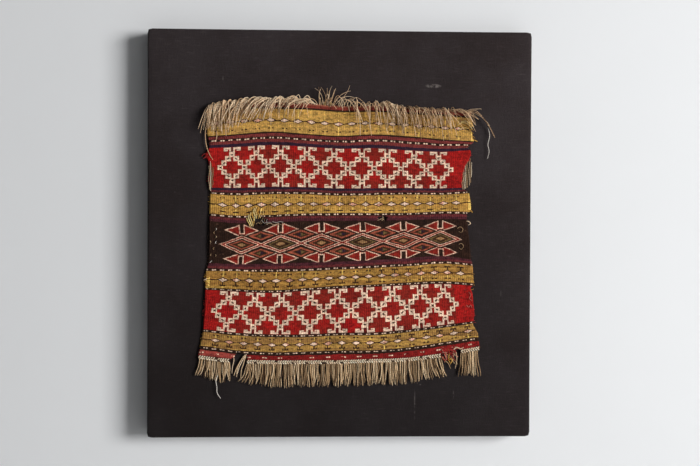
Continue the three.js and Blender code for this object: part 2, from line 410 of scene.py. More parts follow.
@dataclass(frozen=True)
class Dyes:
    """Colours of the yarns in the weaving."""

    red: Colour = dye(125, 31, 22)
    bright_red: Colour = dye(154, 22, 19)
    deep_red: Colour = dye(92, 22, 18)
    stripe_red: Colour = dye(126, 26, 24)
    faded_red: Colour = dye(160, 76, 66)
    ochre_dull: Colour = dye(174, 133, 70)
    ochre: Colour = dye(170, 126, 60)
    ochre_deep: Colour = dye(148, 106, 50)
    ochre_pale: Colour = dye(142, 104, 56)
    cream: Colour = dye(224, 191, 165)
    pink: Colour = dye(206, 150, 126)
    rust: Colour = dye(150, 76, 56)
    tan: Colour = dye(150, 112, 74)
    olive: Colour = dye(98, 78, 46)
    brown: Colour = dye(58, 33, 18)
    dark: Colour = dye(40, 23, 15)
    navy: Colour = dye(44, 27, 42)
    purple: Colour = dye(72, 32, 38)
    maroon: Colour = dye(94, 38, 40)
    rose: Colour = dye(112, 46, 44)


DYES = Dyes()


class WeaveFinish:
    """Weft-faced weave: a drawn band, its yarns and its wear."""

    name: str

    def lay(self, shader: Shader, u: Field, w: Field) -> tuple[Paint, Field]:
        """Draws the band's pattern.

        Args:
            shader: The material under way.
            u: Millimetres across the band, in the pattern's own pitch.
            w: Millimetres above the middle of the band.

        Returns:
            The colour and the mask of the raised yarns.
        """
        raise NotImplementedError

    def material(self) -> bpy.types.Material:
        """The band's material.

        Returns:
            A material with pattern, yarn relief, uneven dye and wear.
        """
        shader = Shader(self.name)
        u, w = shader.cloth_place()
        waver = shader.noise(55.0, 2.0)
        drift = shader.noise(70.0, 2.0, (1.0, 1.0, 1.3))
        across = u + (waver - 0.5) * 3.0
        up = w + (drift - 0.5) * 2.6
        cell_u = ((across / STITCH_WIDE).floor() + 0.5) * STITCH_WIDE
        cell_w = ((up / STITCH_TALL).floor() + 0.5) * STITCH_TALL
        colour, raised = self.lay(shader, cell_u, cell_w)
        streak = shader.noise(1.0, 2.0, (14.0, 14.0, 420.0))
        blotch = shader.noise(34.0, 3.0)
        speck = shader.noise(620.0, 2.0)
        grain = shader.noise(250.0, 2.0, (0.7, 1.0, 1.3))
        rows = (w * (2 * math.pi / ROW_PITCH)).sine()
        ribs = (u * (2 * math.pi / RIB_PITCH) + rows * 0.8).sine()
        shade = -1.38 + streak * 0.6 + blotch * 0.6 + speck * 1.5 + grain * 2.0 + ribs * 0.07
        shade = shade.clamp(0.35, 1.7)
        # A lone stripe is a bare colour, so a mix with itself turns it into a link.
        painted = shader.scaled(shader.mix(colour, colour, 0.0), shade)
        worn = shader.noise(210.0, 3.0).ramp(0.62, 0.78) * 0.28
        painted = shader.mix(painted, dye(150, 112, 88), worn)
        height = raised * 0.5 + rows * 0.16 + ribs * 0.14 + speck * 0.7 + waver * 0.6
        return shader.cover(painted, 0.95, height, 0.0009, 0.03)


@dataclass
class RedBand(WeaveFinish):
    """Red ground with chains of small eyed diamonds, double stems and hooks in off-white."""

    name: str = "red_band"
    pitch: float = 38.4
    columns: int = 9
    top_node: float = 20.2
    step_up: float = 6.73
    ring: tuple[float, float] = (4.25, 3.85)
    eye: tuple[float, float] = (1.75, 1.1)
    tip: float = 30.6
    stem: tuple[float, float] = (3.3, 1.2)
    arm_low: float = 27.9
    arm_reach: float = 13.4
    hook_side: float = 11.0
    hook_back: float = 7.6
    hook_low: float = 25.0
    hook_high: float = 27.0

    def lay(self, shader: Shader, u: Field, w: Field) -> tuple[Paint, Field]:
        """Draws the chains, stems and hooks.

        Args:
            shader: The material under way.
            u: Millimetres across the band, in the pattern's own pitch.
            w: Millimetres above the middle of the band.

        Returns:
            The colour and the mask of the raised yarns.
        """
        step = self.pitch / 6
        column = (u / self.pitch + 0.5).floor().clamp(0, self.columns - 1)
        across = abs(u - column * self.pitch)
        up = abs(w)
        reach = across / step + (self.top_node - up) / self.step_up
        link = (reach * 0.5 + 0.5).floor().clamp(0, 3)
        beside = abs(across - link * step)
        above = abs(up - self.top_node + link * self.step_up)
        ring = (beside < self.ring[0]) & (above < self.ring[1])
        slope = (across - link * step) * 0.45 + up - self.top_node + link * self.step_up
        eye = (beside < self.eye[0]) & (abs(slope) < self.eye[1])
        stem = across.near(*self.stem) & up.between(self.top_node, self.tip)
        arm = across.between(3.0, self.arm_reach) & up.between(self.arm_low, self.tip)
        end = across.between(self.hook_side, self.arm_reach) & up.between(self.hook_low, self.tip)
        back = across.between(self.hook_back, self.arm_reach) & up.between(self.hook_low, self.hook_high)
        white = ring | stem | arm | end | back
        gap = (across < 2.1) & up.between(self.top_node + 2.9, self.tip)
        slot = across.between(self.hook_back, self.hook_side) & up.between(self.hook_high, 28.2)
        core = (across / 10.5 + up / 11.5) < 1.0
        patch = shader.noise(26.0, 2.0).ramp(0.45, 0.62) | core * 0.4
        ends = (u < -0.35 * self.pitch) | (u > (self.columns - 0.55) * self.pitch)
        ground = shader.mix(DYES.red, DYES.bright_red, patch)
        ground = shader.mix(ground, DYES.bright_red, ends)
        ground = shader.mix(ground, DYES.deep_red, gap | slot)
        cream = shader.mix(DYES.cream, DYES.pink, shader.noise(110.0).ramp(0.5, 0.68) * 0.35)
        drawn = shader.mix(ground, cream, white)
        return shader.mix(drawn, DYES.brown, eye), white


class OchreStyle(Enum):
    """How the marks above and below the row of diamonds are drawn."""

    DOTS = "dots"
    BARS = "bars"
    ANCHORS = "anchors"


@dataclass
class OchreBand(WeaveFinish):
    """Ochre ground with a row of small pale diamonds on a dark line, and marks beside them."""

    name: str
    tone: Colour
    style: OchreStyle
    pitch: float
    half: float
    turn: float = 11.5
    count: int = 19
    reach: float = 8.6
    rise: float = 3.6

    def lay(self, shader: Shader, u: Field, w: Field) -> tuple[Paint, Field]:
        """Draws the row of diamonds, its line and the marks.

        Args:
            shader: The material under way.
            u: Millimetres across the band, in the pattern's own pitch.
            w: Millimetres above the middle of the band.

        Returns:
            The colour and the mask of the raised yarns.
        """
        place = (u / self.pitch + 0.5).wrap(1.0) * self.pitch - self.pitch / 2
        across = abs(place)
        up = abs(w)
        diamond = across / self.reach + up / self.rise
        worn = shader.noise(90.0, 3.0)
        held = u.between(-0.5 * self.pitch, (self.count - 0.5) * self.pitch)
        line = (abs(w + (u * (2 * math.pi / self.pitch)).sine() * 0.4) < 0.72) & (worn > 0.36)
        mark = self.marks(across, up, u, w) & (worn > 0.34) & held
        streak = shader.noise(1.0, 2.0, (9.0, 9.0, 300.0)).ramp(0.46, 0.66)
        ground = shader.mix(self.tone, dye(196, 154, 74), streak * 0.6)
        ground = shader.mix(ground, dye(214, 178, 92), (across < 0.7) & (worn > 0.47))
        drawn = shader.mix(ground, DYES.brown, mark | line)
        drawn = shader.mix(drawn, DYES.brown, (diamond < 1.0) & held)
        pale = shader.mix(DYES.cream, DYES.pink, worn > 0.55)
        return shader.mix(drawn, pale, (diamond < 0.66) & held), (diamond < 1.0) & held

    def marks(self, across: Field, up: Field, u: Field, w: Field) -> Field:
        """Mask of the dark marks beside the diamonds.

        Args:
            across: Distance from the diamond's middle.
            up: Distance from the row.
            u: Place along the band.
            w: Height above the row.

        Returns:
            The mask.
        """
        far = self.half * 0.7
        above, below = w > 0.0, w < 0.0
        pair = across.near(2.6, 1.2) & up.near(far, 0.95)
        bar = (across < 4.2) & up.near(far, 0.9)
        hook = across.near(3.7, 0.9) & up.between(far - 1.9, far)
        stalk = (across < 0.9) & up.between(2.0, far)
        if self.style is OchreStyle.DOTS:
            return pair & below
        if self.style is OchreStyle.BARS:
            return (pair & above) | (bar & below)
        turned = u > self.turn * self.pitch
        anchor = bar | hook | stalk
        plain = bar & (across > 1.0)
        upper = (anchor & turned) | (plain & ~turned)
        lower = (anchor & ~turned) | (plain & turned)
        return (upper & above) | (lower & below)


@dataclass
class LatticeBand(WeaveFinish):
    """Near-black ground with a lattice of diamonds and rows of smaller ones beside it.

    Side and outer diamonds are given as half their width, half their height and their height above
    the middle row.
    """

    name: str = "lattice_band"
    pitch: float = 59.5
    columns: int = 6
    shift: float = -1.8
    rise: float = 11.4
    side: tuple[float, float, float] = (19.5, 6.8, 12.6)
    outer: tuple[float, float, float] = (27.0, 10.0, 20.8)

    def lay(self, shader: Shader, u: Field, w: Field) -> tuple[Paint, Field]:
        """Draws the lattice from its middle outwards.

        Args:
            shader: The material under way.
            u: Millimetres across the band, in the pattern's own pitch.
            w: Millimetres above the middle of the band.

        Returns:
            The colour and the mask of the raised yarns.
        """
        half = self.pitch / 2
        column = (u / self.pitch + 0.5).floor().clamp(0, self.columns - 1)
        across = abs(u - column * self.pitch)
        up = abs(w - self.shift)
        side_wide, side_tall, side_up = self.side
        outer_wide, outer_tall, outer_up = self.outer
        inner = (across / half + up / self.rise - 1.0) * self.rise
        side = (abs(across - half) / side_wide + abs(up - side_up) / side_tall - 1.0) * side_tall
        outer = (across / outer_wide + abs(up - outer_up) / outer_tall - 1.0) * outer_tall
        odd = (column * 0.5).wrap(1.0) > 0.25
        pale = shader.mix(DYES.cream, DYES.pink, 0.25 + shader.noise(90.0).ramp(0.42, 0.62) * 0.6)
        drawn = shader.mix(DYES.dark, pale, outer < 0.0)
        drawn = shader.mix(drawn, DYES.red, outer < -1.35)
        drawn = shader.mix(drawn, pale, (across < 4.6) & (up > 15.6) & (outer < 0.0))
        drawn = shader.mix(drawn, DYES.dark, (across < 2.9) & (up > 17.2) & (outer < 0.6))
        drawn = shader.mix(drawn, DYES.dark, inner < 4.2)
        inside = u.between(0.0, (self.columns - 1) * self.pitch)
        drawn = shader.mix(drawn, DYES.rust, (side < 0.0) & inside)
        drawn = shader.mix(drawn, DYES.brown, (side < -2.4) & inside)
        core = shader.mix(DYES.olive, DYES.navy, odd)
        drawn = shader.mix(drawn, core, (side < -4.4) & inside)
        drawn = shader.mix(drawn, pale, inner < 2.05)
        drawn = shader.mix(drawn, DYES.red, inner < 0.95)
        drawn = shader.mix(drawn, pale, inner < -0.95)
        drawn = shader.mix(drawn, DYES.dark, inner < -2.05)
        drawn = shader.mix(drawn, shader.mix(DYES.rust, DYES.olive, odd), inner < -4.0)
        drawn = shader.mix(drawn, DYES.brown, inner < -5.7)
        drawn = shader.mix(drawn, DYES.tan, inner < -8.6)
        raised = inner.between(-2.15, 2.15) | outer.between(-1.35, 0.0)
        return drawn, raised


@dataclass(frozen=True)
class Stripe:
    """One plain or dotted stripe: its height in millimetres and its colour."""

    height: float
    colour: Colour
    dotted: bool = False


@dataclass
class StripeBand(WeaveFinish):
    """A group of narrow stripes, counted from the top."""

    name: str
    stripes: tuple[Stripe, ...]
    period: float = 11.8
    kept: float = 0.33
    fade_and_painted_light: float = FAR_OFF

    def lay(self, shader: Shader, u: Field, w: Field) -> tuple[Paint, Field]:
        """Draws the stripes and their pairs of white dots.

        Args:
            shader: The material under way.
            u: Millimetres across the band, in the pattern's own pitch.
            w: Millimetres above the middle of the band.

        Returns:
            The colour and the mask of the raised yarns.
        """
        total = sum(stripe.height for stripe in self.stripes)
        down = total / 2 - w
        spot = u.wrap(self.period)
        pair = spot.near(3.6, 1.25) | spot.near(7.4, 1.25)
        kept = shader.noise(85.0, 2.0) > self.kept
        drawn: Paint = self.stripes[0].colour
        raised = down * 0.0
        edge = 0.0
        for stripe in self.stripes:
            if edge > 0.0:
                drawn = shader.mix(drawn, stripe.colour, down > edge)
            if stripe.dotted:
                dots = pair & down.near(edge + stripe.height / 2, min(0.85, stripe.height * 0.3)) & kept
                drawn = shader.mix(drawn, DYES.cream, dots)
                raised = raised | dots
            edge += stripe.height
        if self.fade_and_painted_light > FAR_OFF:
            bleached = (u < self.fade_and_painted_light) & (down > self.stripes[0].height) & ~raised
            drawn = shader.mix(drawn, DYES.faded_red, bleached * 0.6)
        return drawn, raised


class BandKind(Enum):
    """What a band's pattern repeats on."""

    MOTIFS = "motifs"
    PLAIN = "plain"


@dataclass(frozen=True)
class Band:
    """One band of the weaving, from the course above it to the course below.

    The courses are the heights of the band's lower edge at the stations across the panel. Centres
    are where its motifs stand across the panel.
    """

    finish: WeaveFinish
    lower: Row
    half: float
    kind: BandKind = BandKind.PLAIN
    centres: Row = ()
    pitch: float = 1.0


def even_centres(first: float, last: float, count: int) -> Row:
    """Evenly spaced places.

    Args:
        first: First place.
        last: Last place.
        count: How many.

    Returns:
        The places.
    """
    return tuple(float(place) for place in np.linspace(first, last, count))


TOP_COURSE = (177.5, 183.0, 184.0, 183.0, 180.0, 180.5, 178.0, 175.5, 172.0)
HEAD_COURSE = tuple(height - 2.5 for height in TOP_COURSE)
DOTTED = Stripe(4.0, DYES.dark, True)


def bands() -> tuple[Band, ...]:
    """The bands of the weaving from the top down.

    Returns:
        Each band with its finish, its lower course and its motifs.
    """
    red = RedBand()
    lattice = LatticeBand()
    dull = OchreBand("ochre_band_1", DYES.ochre_dull, OchreStyle.DOTS, 19.5, 17.0)
    broad = OchreBand("ochre_band_2", DYES.ochre, OchreStyle.BARS, 18.9, 12.5)
    bright = OchreBand("ochre_band_3", DYES.ochre_deep, OchreStyle.ANCHORS, 19.2, 11.8)
    pale = OchreBand("ochre_band_4", DYES.ochre_pale, OchreStyle.ANCHORS, 20.4, 10.8)
    head = StripeBand("head_line", (Stripe(2.5, DYES.dark),))
    upper = StripeBand(
        "upper_stripes",
        (
            Stripe(2.2, DYES.dark),
            Stripe(4.2, DYES.rose),
            Stripe(3.6, DYES.dark, True),
            Stripe(3.8, DYES.rose),
            Stripe(4.7, DYES.navy),
        ),
    )
    second = StripeBand(
        "second_stripes",
        (Stripe(3.6, DYES.navy), Stripe(3.1, DYES.maroon), Stripe(3.8, DYES.dark, True)),
    )
    third = StripeBand(
        "third_stripes",
        (DOTTED, Stripe(3.7, DYES.maroon), Stripe(3.8, DYES.purple)),
    )
    fourth = StripeBand(
        "fourth_stripes",
        (Stripe(3.8, DYES.purple), Stripe(3.7, DYES.maroon), DOTTED),
    )
    dotted = StripeBand("dotted_stripe", (DOTTED,))
    low = StripeBand(
        "low_stripe",
        (
            Stripe(1.2, DYES.dark),
            Stripe(2.4, DYES.stripe_red),
            Stripe(3.0, DYES.stripe_red, True),
            Stripe(3.4, DYES.stripe_red),
        ),
        23.0,
        0.45,
        -150.0,
    )
    return (
        Band(head, HEAD_COURSE, 1.25),
        Band(
            dull,
            (140.5, 144.5, 148.5, 145.5, 143.0, 145.5, 143.0, 139.0, 136.5),
            17.0,
            BandKind.MOTIFS,
            even_centres(-179, 172, 19),
            19.5,
        ),
        Band(upper, (123.5, 126.0, 129.0, 127.0, 124.5, 125.5, 122.5, 121.0, 124.0), 9.25),
        Band(
            red,
            (67.0, 66.5, 68.0, 68.0, 66.5, 67.0, 67.5, 67.5, 69.5),
            31.0,
            BandKind.MOTIFS,
            (-157, -122, -87.5, -48.5, -9.5, 31, 68, 107, 143),
            38.4,
        ),
        Band(second, (58.5, 55.5, 57.5, 57.5, 56.0, 57.0, 58.0, 58.0, 61.0), 5.25),
        Band(
            broad,
            (30.5, 26.5, 28.0, 30.0, 31.0, 31.0, 31.5, 34.0, 33.0),
            12.5,
            BandKind.MOTIFS,
            even_centres(-171, 169, 19),
            18.9,
        ),
        Band(third, (19.5, 15.5, 17.0, 19.0, 19.5, 20.0, 21.0, 23.0, 22.0), 5.75),
        Band(
            lattice,
            (-42.0, -44.0, -43.0, -41.5, -40.0, -37.5, -34.5, -31.5, -37.0),
            30.0,
            BandKind.MOTIFS,
            (-143, -87, -27, 32.5, 92, 146),
            59.5,
        ),
        Band(fourth, (-54.0, -54.5, -55.5, -54.0, -51.5, -49.0, -46.5, -42.5, -45.5), 5.75),
        Band(
            bright,
            (-78.0, -80.0, -81.7, -78.5, -75.0, -73.0, -70.0, -68.0, -70.5),
            11.8,
            BandKind.MOTIFS,
            even_centres(-170, 176, 19),
            19.2,
        ),
        Band(dotted, (-81.0, -83.7, -85.7, -82.5, -79.0, -76.5, -74.0, -72.0, -75.0), 2.0),
        Band(
            red,
            (-138.0, -143.5, -146.0, -146.0, -143.6, -143.2, -138.8, -132.5, -126.5),
            31.0,
            BandKind.MOTIFS,
            (-163.3, -125, -86, -43.5, -4, 36, 77, 118, 152.5),
            38.4,
        ),
        Band(dotted, (-142.0, -147.5, -150.0, -150.2, -147.6, -147.4, -142.8, -136.5, -130.0), 2.0),
        Band(
            pale,
            (-162.5, -169.0, -172.0, -171.0, -169.2, -168.9, -164.9, -157.4, -150.0),
            10.8,
            BandKind.MOTIFS,
            even_centres(-181, 187, 19),
            20.4,
        ),
        Band(dotted, (-167.0, -173.5, -176.3, -175.2, -173.5, -173.2, -169.2, -161.7, -154.5), 2.0),
        Band(low, (-176.8, -182.2, -183.9, -183.8, -183.5, -182.0, -180.0, -173.5, -165.0), 5.0),
    )


@dataclass(frozen=True)
class LinenFinish:
    """Dark plain-woven linen with slubs and a few pale scuffs, given as x, z, half-sizes and strength."""

    tone: Colour = dye(48, 42, 43)
    warm: Colour = dye(40, 33, 33)
    scuff: Colour = dye(120, 112, 108)
    thread_pitch: float = 0.95
    # Painted light: where the linen starts to grow lighter towards the right edge, and over how far.
    light_ramp_from: float = 165.0
    light_ramp_run: float = 110.0
    scuffs: tuple[Row, ...] = (
        (135, 217, 13, 3.4, 0.9),
        (-171, 224, 1.1, 6, 0.3),
        (110, -247, 1.1, 27, 0.45),
        (167, -235, 1.0, 7, 0.35),
        (118, -220, 1.4, 1.2, 0.4),
        (-240, 60, 1.5, 1.5, 0.25),
        (236, -86, 1.2, 6, 0.35),
    )

    def material(self) -> bpy.types.Material:
        """The linen's material.

        Returns:
            A matt material with weave relief, uneven dye, scuffs and painted light that makes it lighter
            towards the top and the right edge.
        """
        shader = Shader("linen")
        u, w = shader.cloth_place()
        slub_across = shader.noise(1.0, 3.0, (60.0, 60.0, 1100.0))
        slub_up = shader.noise(1.0, 3.0, (1100.0, 1100.0, 60.0))
        blotch = shader.noise(7.0, 4.0)
        grain = shader.noise(900.0, 2.0)
        colour = shader.mix(self.tone, self.warm, blotch.ramp(0.38, 0.62))
        thick_across = shader.noise(1.0, 2.0, (62.0, 62.0, 430.0)).ramp(0.56, 0.74)
        thick_up = shader.noise(1.0, 2.0, (430.0, 430.0, 62.0)).ramp(0.6, 0.76)
        shade = 0.16 + slub_across * 0.45 + slub_up * 0.45 + grain * 0.7
        shade = shade + thick_across * 0.36 + thick_up * 0.3
        # Painted light: the linen is made lighter towards the top and towards the right edge, where the lamp
        # falls.
        fade_and_painted_light = ((u - self.light_ramp_from) / self.light_ramp_run).clamp(0.0, 1.0) * 0.2
        colour = shader.scaled(colour, shade * (0.8 + w / 950.0 + fade_and_painted_light))
        broken = shader.noise(160.0, 3.0).ramp(0.4, 0.6)
        for x, z, wide, tall, strength in self.scuffs:
            reach = ((u - x) / wide) * ((u - x) / wide) + ((w - z) / tall) * ((w - z) / tall)
            colour = shader.mix(colour, self.scuff, (1.0 - reach).clamp(0.0, 1.0) * broken * strength)
        turn = 2 * math.pi / self.thread_pitch
        threads = (u * turn).sine() * (w * turn).sine()
        height = threads * 0.3 + slub_across * 0.7 + slub_up * 0.7 + grain * 0.5
        return shader.cover(colour, 0.93, height, 0.0005, 0.06)


@dataclass(frozen=True)
class PineFinish:
    """Planed softwood with its grain along one axis."""

    name: str
    stretch: tuple[float, float, float]
    early: Colour = dye(206, 172, 122)
    late: Colour = dye(172, 126, 78)

    def material(self) -> bpy.types.Material:
        """The wood's material.

        Returns:
            A material with growth rings, pores and a little dirt.
        """
        shader = Shader(self.name)
        warp = shader.noise(26.0, 2.0, self.stretch)
        rings = ((warp * 58.0).sine() * 0.5 + 0.5).ramp(0.2, 0.95)
        pores = shader.noise(160.0, 2.0, self.stretch)
        dirt = shader.noise(11.0, 4.0)
        colour = shader.mix(self.early, self.late, rings * 0.75 + pores * 0.2)
        colour = shader.scaled(colour, 0.72 + dirt * 0.5)
        return shader.cover(colour, 0.62 + pores * 0.2, rings * 0.4 + pores * 0.6, 0.0003)


@dataclass(frozen=True)
class YarnFinish:
    """Twisted yarn whose tone runs from dark over middle to pale with the yarn's own tint."""

    name: str
    dark: Colour
    middle: Colour
    pale: Colour
    ply_pitch: float = 3.4

    def material(self) -> bpy.types.Material:
        """The yarn's material.

        Returns:
            A material with plies, uneven tone and fuzz.
        """
        shader = Shader(self.name)
        around, along = shader.cloth_place()
        tint = shader.tint()
        colour = shader.mix(self.dark, self.middle, tint.ramp(0.0, 0.5))
        colour = shader.mix(colour, self.pale, tint.ramp(0.5, 1.0))
        plies = ((around * 0.002 + along / self.ply_pitch + tint * 37.0) * (2 * math.pi)).sine()
        grain = shader.noise(500.0, 3.0)
        shade = 0.55 + grain * 0.9 + plies * 0.05
        return shader.cover(shader.scaled(colour, shade), 0.9, plies * 0.5 + grain, 0.0005, 0.08)


class YarnTone(Enum):
    """Which yarn a thread is spun from."""

    TAN = YarnFinish("warp_tan", dye(120, 88, 60), dye(212, 176, 137), dye(224, 198, 166))
    GREY = YarnFinish("warp_grey", dye(80, 56, 34), dye(180, 148, 110), dye(222, 196, 160))
    BARE = YarnFinish("bare_warp", dye(96, 72, 46), dye(150, 122, 88), dye(204, 178, 142))
    CREAM = YarnFinish("thread_cream", dye(176, 150, 122), dye(214, 188, 158), dye(232, 212, 188))
    WHITE = YarnFinish("thread_white", dye(186, 178, 166), dye(216, 208, 198), dye(234, 228, 220))
    OCHRE = YarnFinish("thread_ochre", dye(140, 98, 40), dye(178, 134, 58), dye(206, 164, 84))
    PINK = YarnFinish("thread_pink", dye(150, 84, 72), dye(190, 120, 104), dye(214, 158, 142))
    YELLOW = YarnFinish("thread_yellow", dye(168, 136, 76), dye(206, 176, 112), dye(230, 208, 150))
    RED = YarnFinish("thread_red", dye(96, 20, 18), dye(142, 30, 26), dye(168, 52, 44))
    DARK = YarnFinish("thread_dark", dye(34, 20, 14), dye(52, 32, 22), dye(84, 58, 40))


MATERIALS: dict[YarnTone, bpy.types.Material] = {}


def yarn_material(tone: YarnTone) -> bpy.types.Material:
    """The material of one yarn, made once."""
    return MATERIALS.setdefault(tone, MATERIALS.get(tone) or tone.value.material())


def select_only(piece: bpy.types.Object) -> None:
    """Makes one piece the selected, active object.

    Args:
        piece: The piece.
    """
    bpy.ops.object.select_all(action="DESELECT")
    piece.select_set(True)
    bpy.context.view_layer.objects.active = piece


def mesh_piece(
    name: str,
    points: np.ndarray,
    faces: list[Sequence[int]],
    places: np.ndarray,
    kinds: np.ndarray | None = None,
    materials: Sequence[bpy.types.Material] = (),
) -> bpy.types.Object:
    """A smooth mesh from arrays.

    Args:
        name: Name of the piece.
        points: Corners in millimetres from the panel's middle: x, y from the wall and z.
        faces: Corner numbers of each face.
        places: Map place of each face corner, in millimetres.
        kinds: Material number of each face.
        materials: The materials.

    Returns:
        The piece, linked to the scene.
    """
    spots = np.column_stack((points[:, 0], points[:, 1], points[:, 2] + PANEL_MIDDLE)) * MM
    mesh = bpy.data.meshes.new(name)
    mesh.from_pydata(spots.tolist(), [], faces)
    layer = mesh.uv_layers.new(name=UV_NAME)
    layer.uv.foreach_set("vector", (places * MM).astype(np.float32).ravel())
    for material in materials:
        mesh.materials.append(material)
    if kinds is not None:
        mesh.polygons.foreach_set("material_index", kinds.astype(np.int32))
    mesh.polygons.foreach_set("use_smooth", np.ones(len(mesh.polygons), bool))
    mesh.update()
    piece = bpy.data.objects.new(name, mesh)
    bpy.context.scene.collection.objects.link(piece)
    return piece


def grid_quads(number: np.ndarray) -> np.ndarray:
    """Faces between the points of a grid.

    Args:
        number: Point numbers, a row of the grid to each row.

    Returns:
        Four point numbers to each face.
    """
    return np.stack((number[:-1, :-1], number[:-1, 1:], number[1:, 1:], number[1:, :-1]), -1).reshape(-1, 4)


def thicken(piece: bpy.types.Object, thick: float) -> None:
    """Gives a sheet its thickness behind its face.

    Args:
        piece: The sheet.
        thick: Thickness in millimetres.
    """
    select_only(piece)
    bpy.ops.object.modifier_add(type="SOLIDIFY")
    solidify = piece.modifiers[-1]
    solidify.thickness = thick * MM
    solidify.offset = -1.0
    bpy.ops.object.modifier_apply(modifier=solidify.name)


class YarnBundle:
    """Many yarns as one mesh of closed tubes."""

    def __init__(self, sides: int = 5) -> None:
        """Starts an empty bundle.

        Args:
            sides: Sides of each yarn.
        """
        self.sides = sides
        self.points: list[np.ndarray] = []
        self.quads: list[np.ndarray] = []
        self.caps: list[list[int]] = []
        self.quad_places: list[np.ndarray] = []
        self.cap_places: list[np.ndarray] = []
        self.tints: list[np.ndarray] = []
        self.quad_tones: list[YarnTone] = []
        self.cap_tones: list[YarnTone] = []
        self.count = 0

    def add(self, path: np.ndarray, radius: np.ndarray, tint: float, tone: YarnTone) -> None:
        """Adds one yarn.

        Args:
            path: Points along it in millimetres.
            radius: Radius at each point.
            tint: Tint from 0 to 1.
            tone: Which yarn it is.
        """
        steps, sides = len(path), self.sides
        run = np.gradient(path, axis=0)
        run /= np.linalg.norm(run, axis=1, keepdims=True)
        side = np.cross(run, (0.0, 1.0, 0.0))
        side /= np.maximum(np.linalg.norm(side, axis=1, keepdims=True), 1e-6)
        rise = np.cross(side, run)
        turn = np.arange(sides) * 2 * math.pi / sides
        ring = np.cos(turn)[None, :, None] * side[:, None] + np.sin(turn)[None, :, None] * rise[:, None]
        self.points.append((path[:, None] + ring * radius[:, None, None]).reshape(-1, 3))
        j, i = np.meshgrid(np.arange(sides), np.arange(steps - 1))
        after = (j + 1) % sides
        here, there = i * sides, (i + 1) * sides
        corners = np.stack((here + j, here + after, there + after, there + j), -1)
        self.quads.append(corners.reshape(-1, 4) + self.count)
        length = np.concatenate(([0.0], np.cumsum(np.linalg.norm(np.diff(path, axis=0), axis=1))))
        wide = np.stack((j, j + 1, j + 1, j), -1) * (1000.0 / sides)
        tall = np.stack((length[i], length[i], length[i + 1], length[i + 1]), -1)
        self.quad_places.append(np.stack((wide, tall), -1).reshape(-1, 2))
        for first, at in ((0, 0.0), ((steps - 1) * sides, length[-1])):
            self.caps.append([self.count + first + k for k in range(sides)])
            self.cap_places.append(np.column_stack((turn * 0.0, np.full(sides, at))))
        self.tints.append(np.full(steps * sides, tint))
        self.quad_tones += [tone] * ((steps - 1) * sides)
        self.cap_tones += [tone] * 2
        self.count += steps * sides

    def build(self, name: str) -> bpy.types.Object:
        """Makes the mesh.

        Args:
            name: Name of the piece.

        Returns:
            The piece.
        """
        used = list(dict.fromkeys(self.quad_tones))
        order = {tone: number for number, tone in enumerate(used)}
        faces = np.concatenate(self.quads).tolist() + self.caps
        places = np.concatenate(self.quad_places + self.cap_places)
        kinds = np.array([order[tone] for tone in self.quad_tones + self.cap_tones])
        materials = [yarn_material(tone) for tone in used]
        piece = mesh_piece(name, np.concatenate(self.points), faces, places, kinds, materials)
        tint = piece.data.attributes.new(TINT_NAME, "FLOAT", "POINT")
        tint.data.foreach_set("value", np.concatenate(self.tints).astype(np.float32))
        select_only(piece)
        bpy.ops.object.mode_set(mode="EDIT")
        bpy.ops.mesh.select_all(action="SELECT")
        bpy.ops.mesh.normals_make_consistent(inside=False)
        bpy.ops.object.mode_set(mode="OBJECT")
        return piece


def join(pieces: Sequence[bpy.types.Object]) -> bpy.types.Object:
    """Joins pieces into the first.

    Args:
        pieces: The pieces, the one that stays first.

    Returns:
        The joined piece.
    """
    select_only(pieces[0])
    for piece in pieces[1:]:
        piece.select_set(True)
    bpy.ops.object.join()
    return pieces[0]


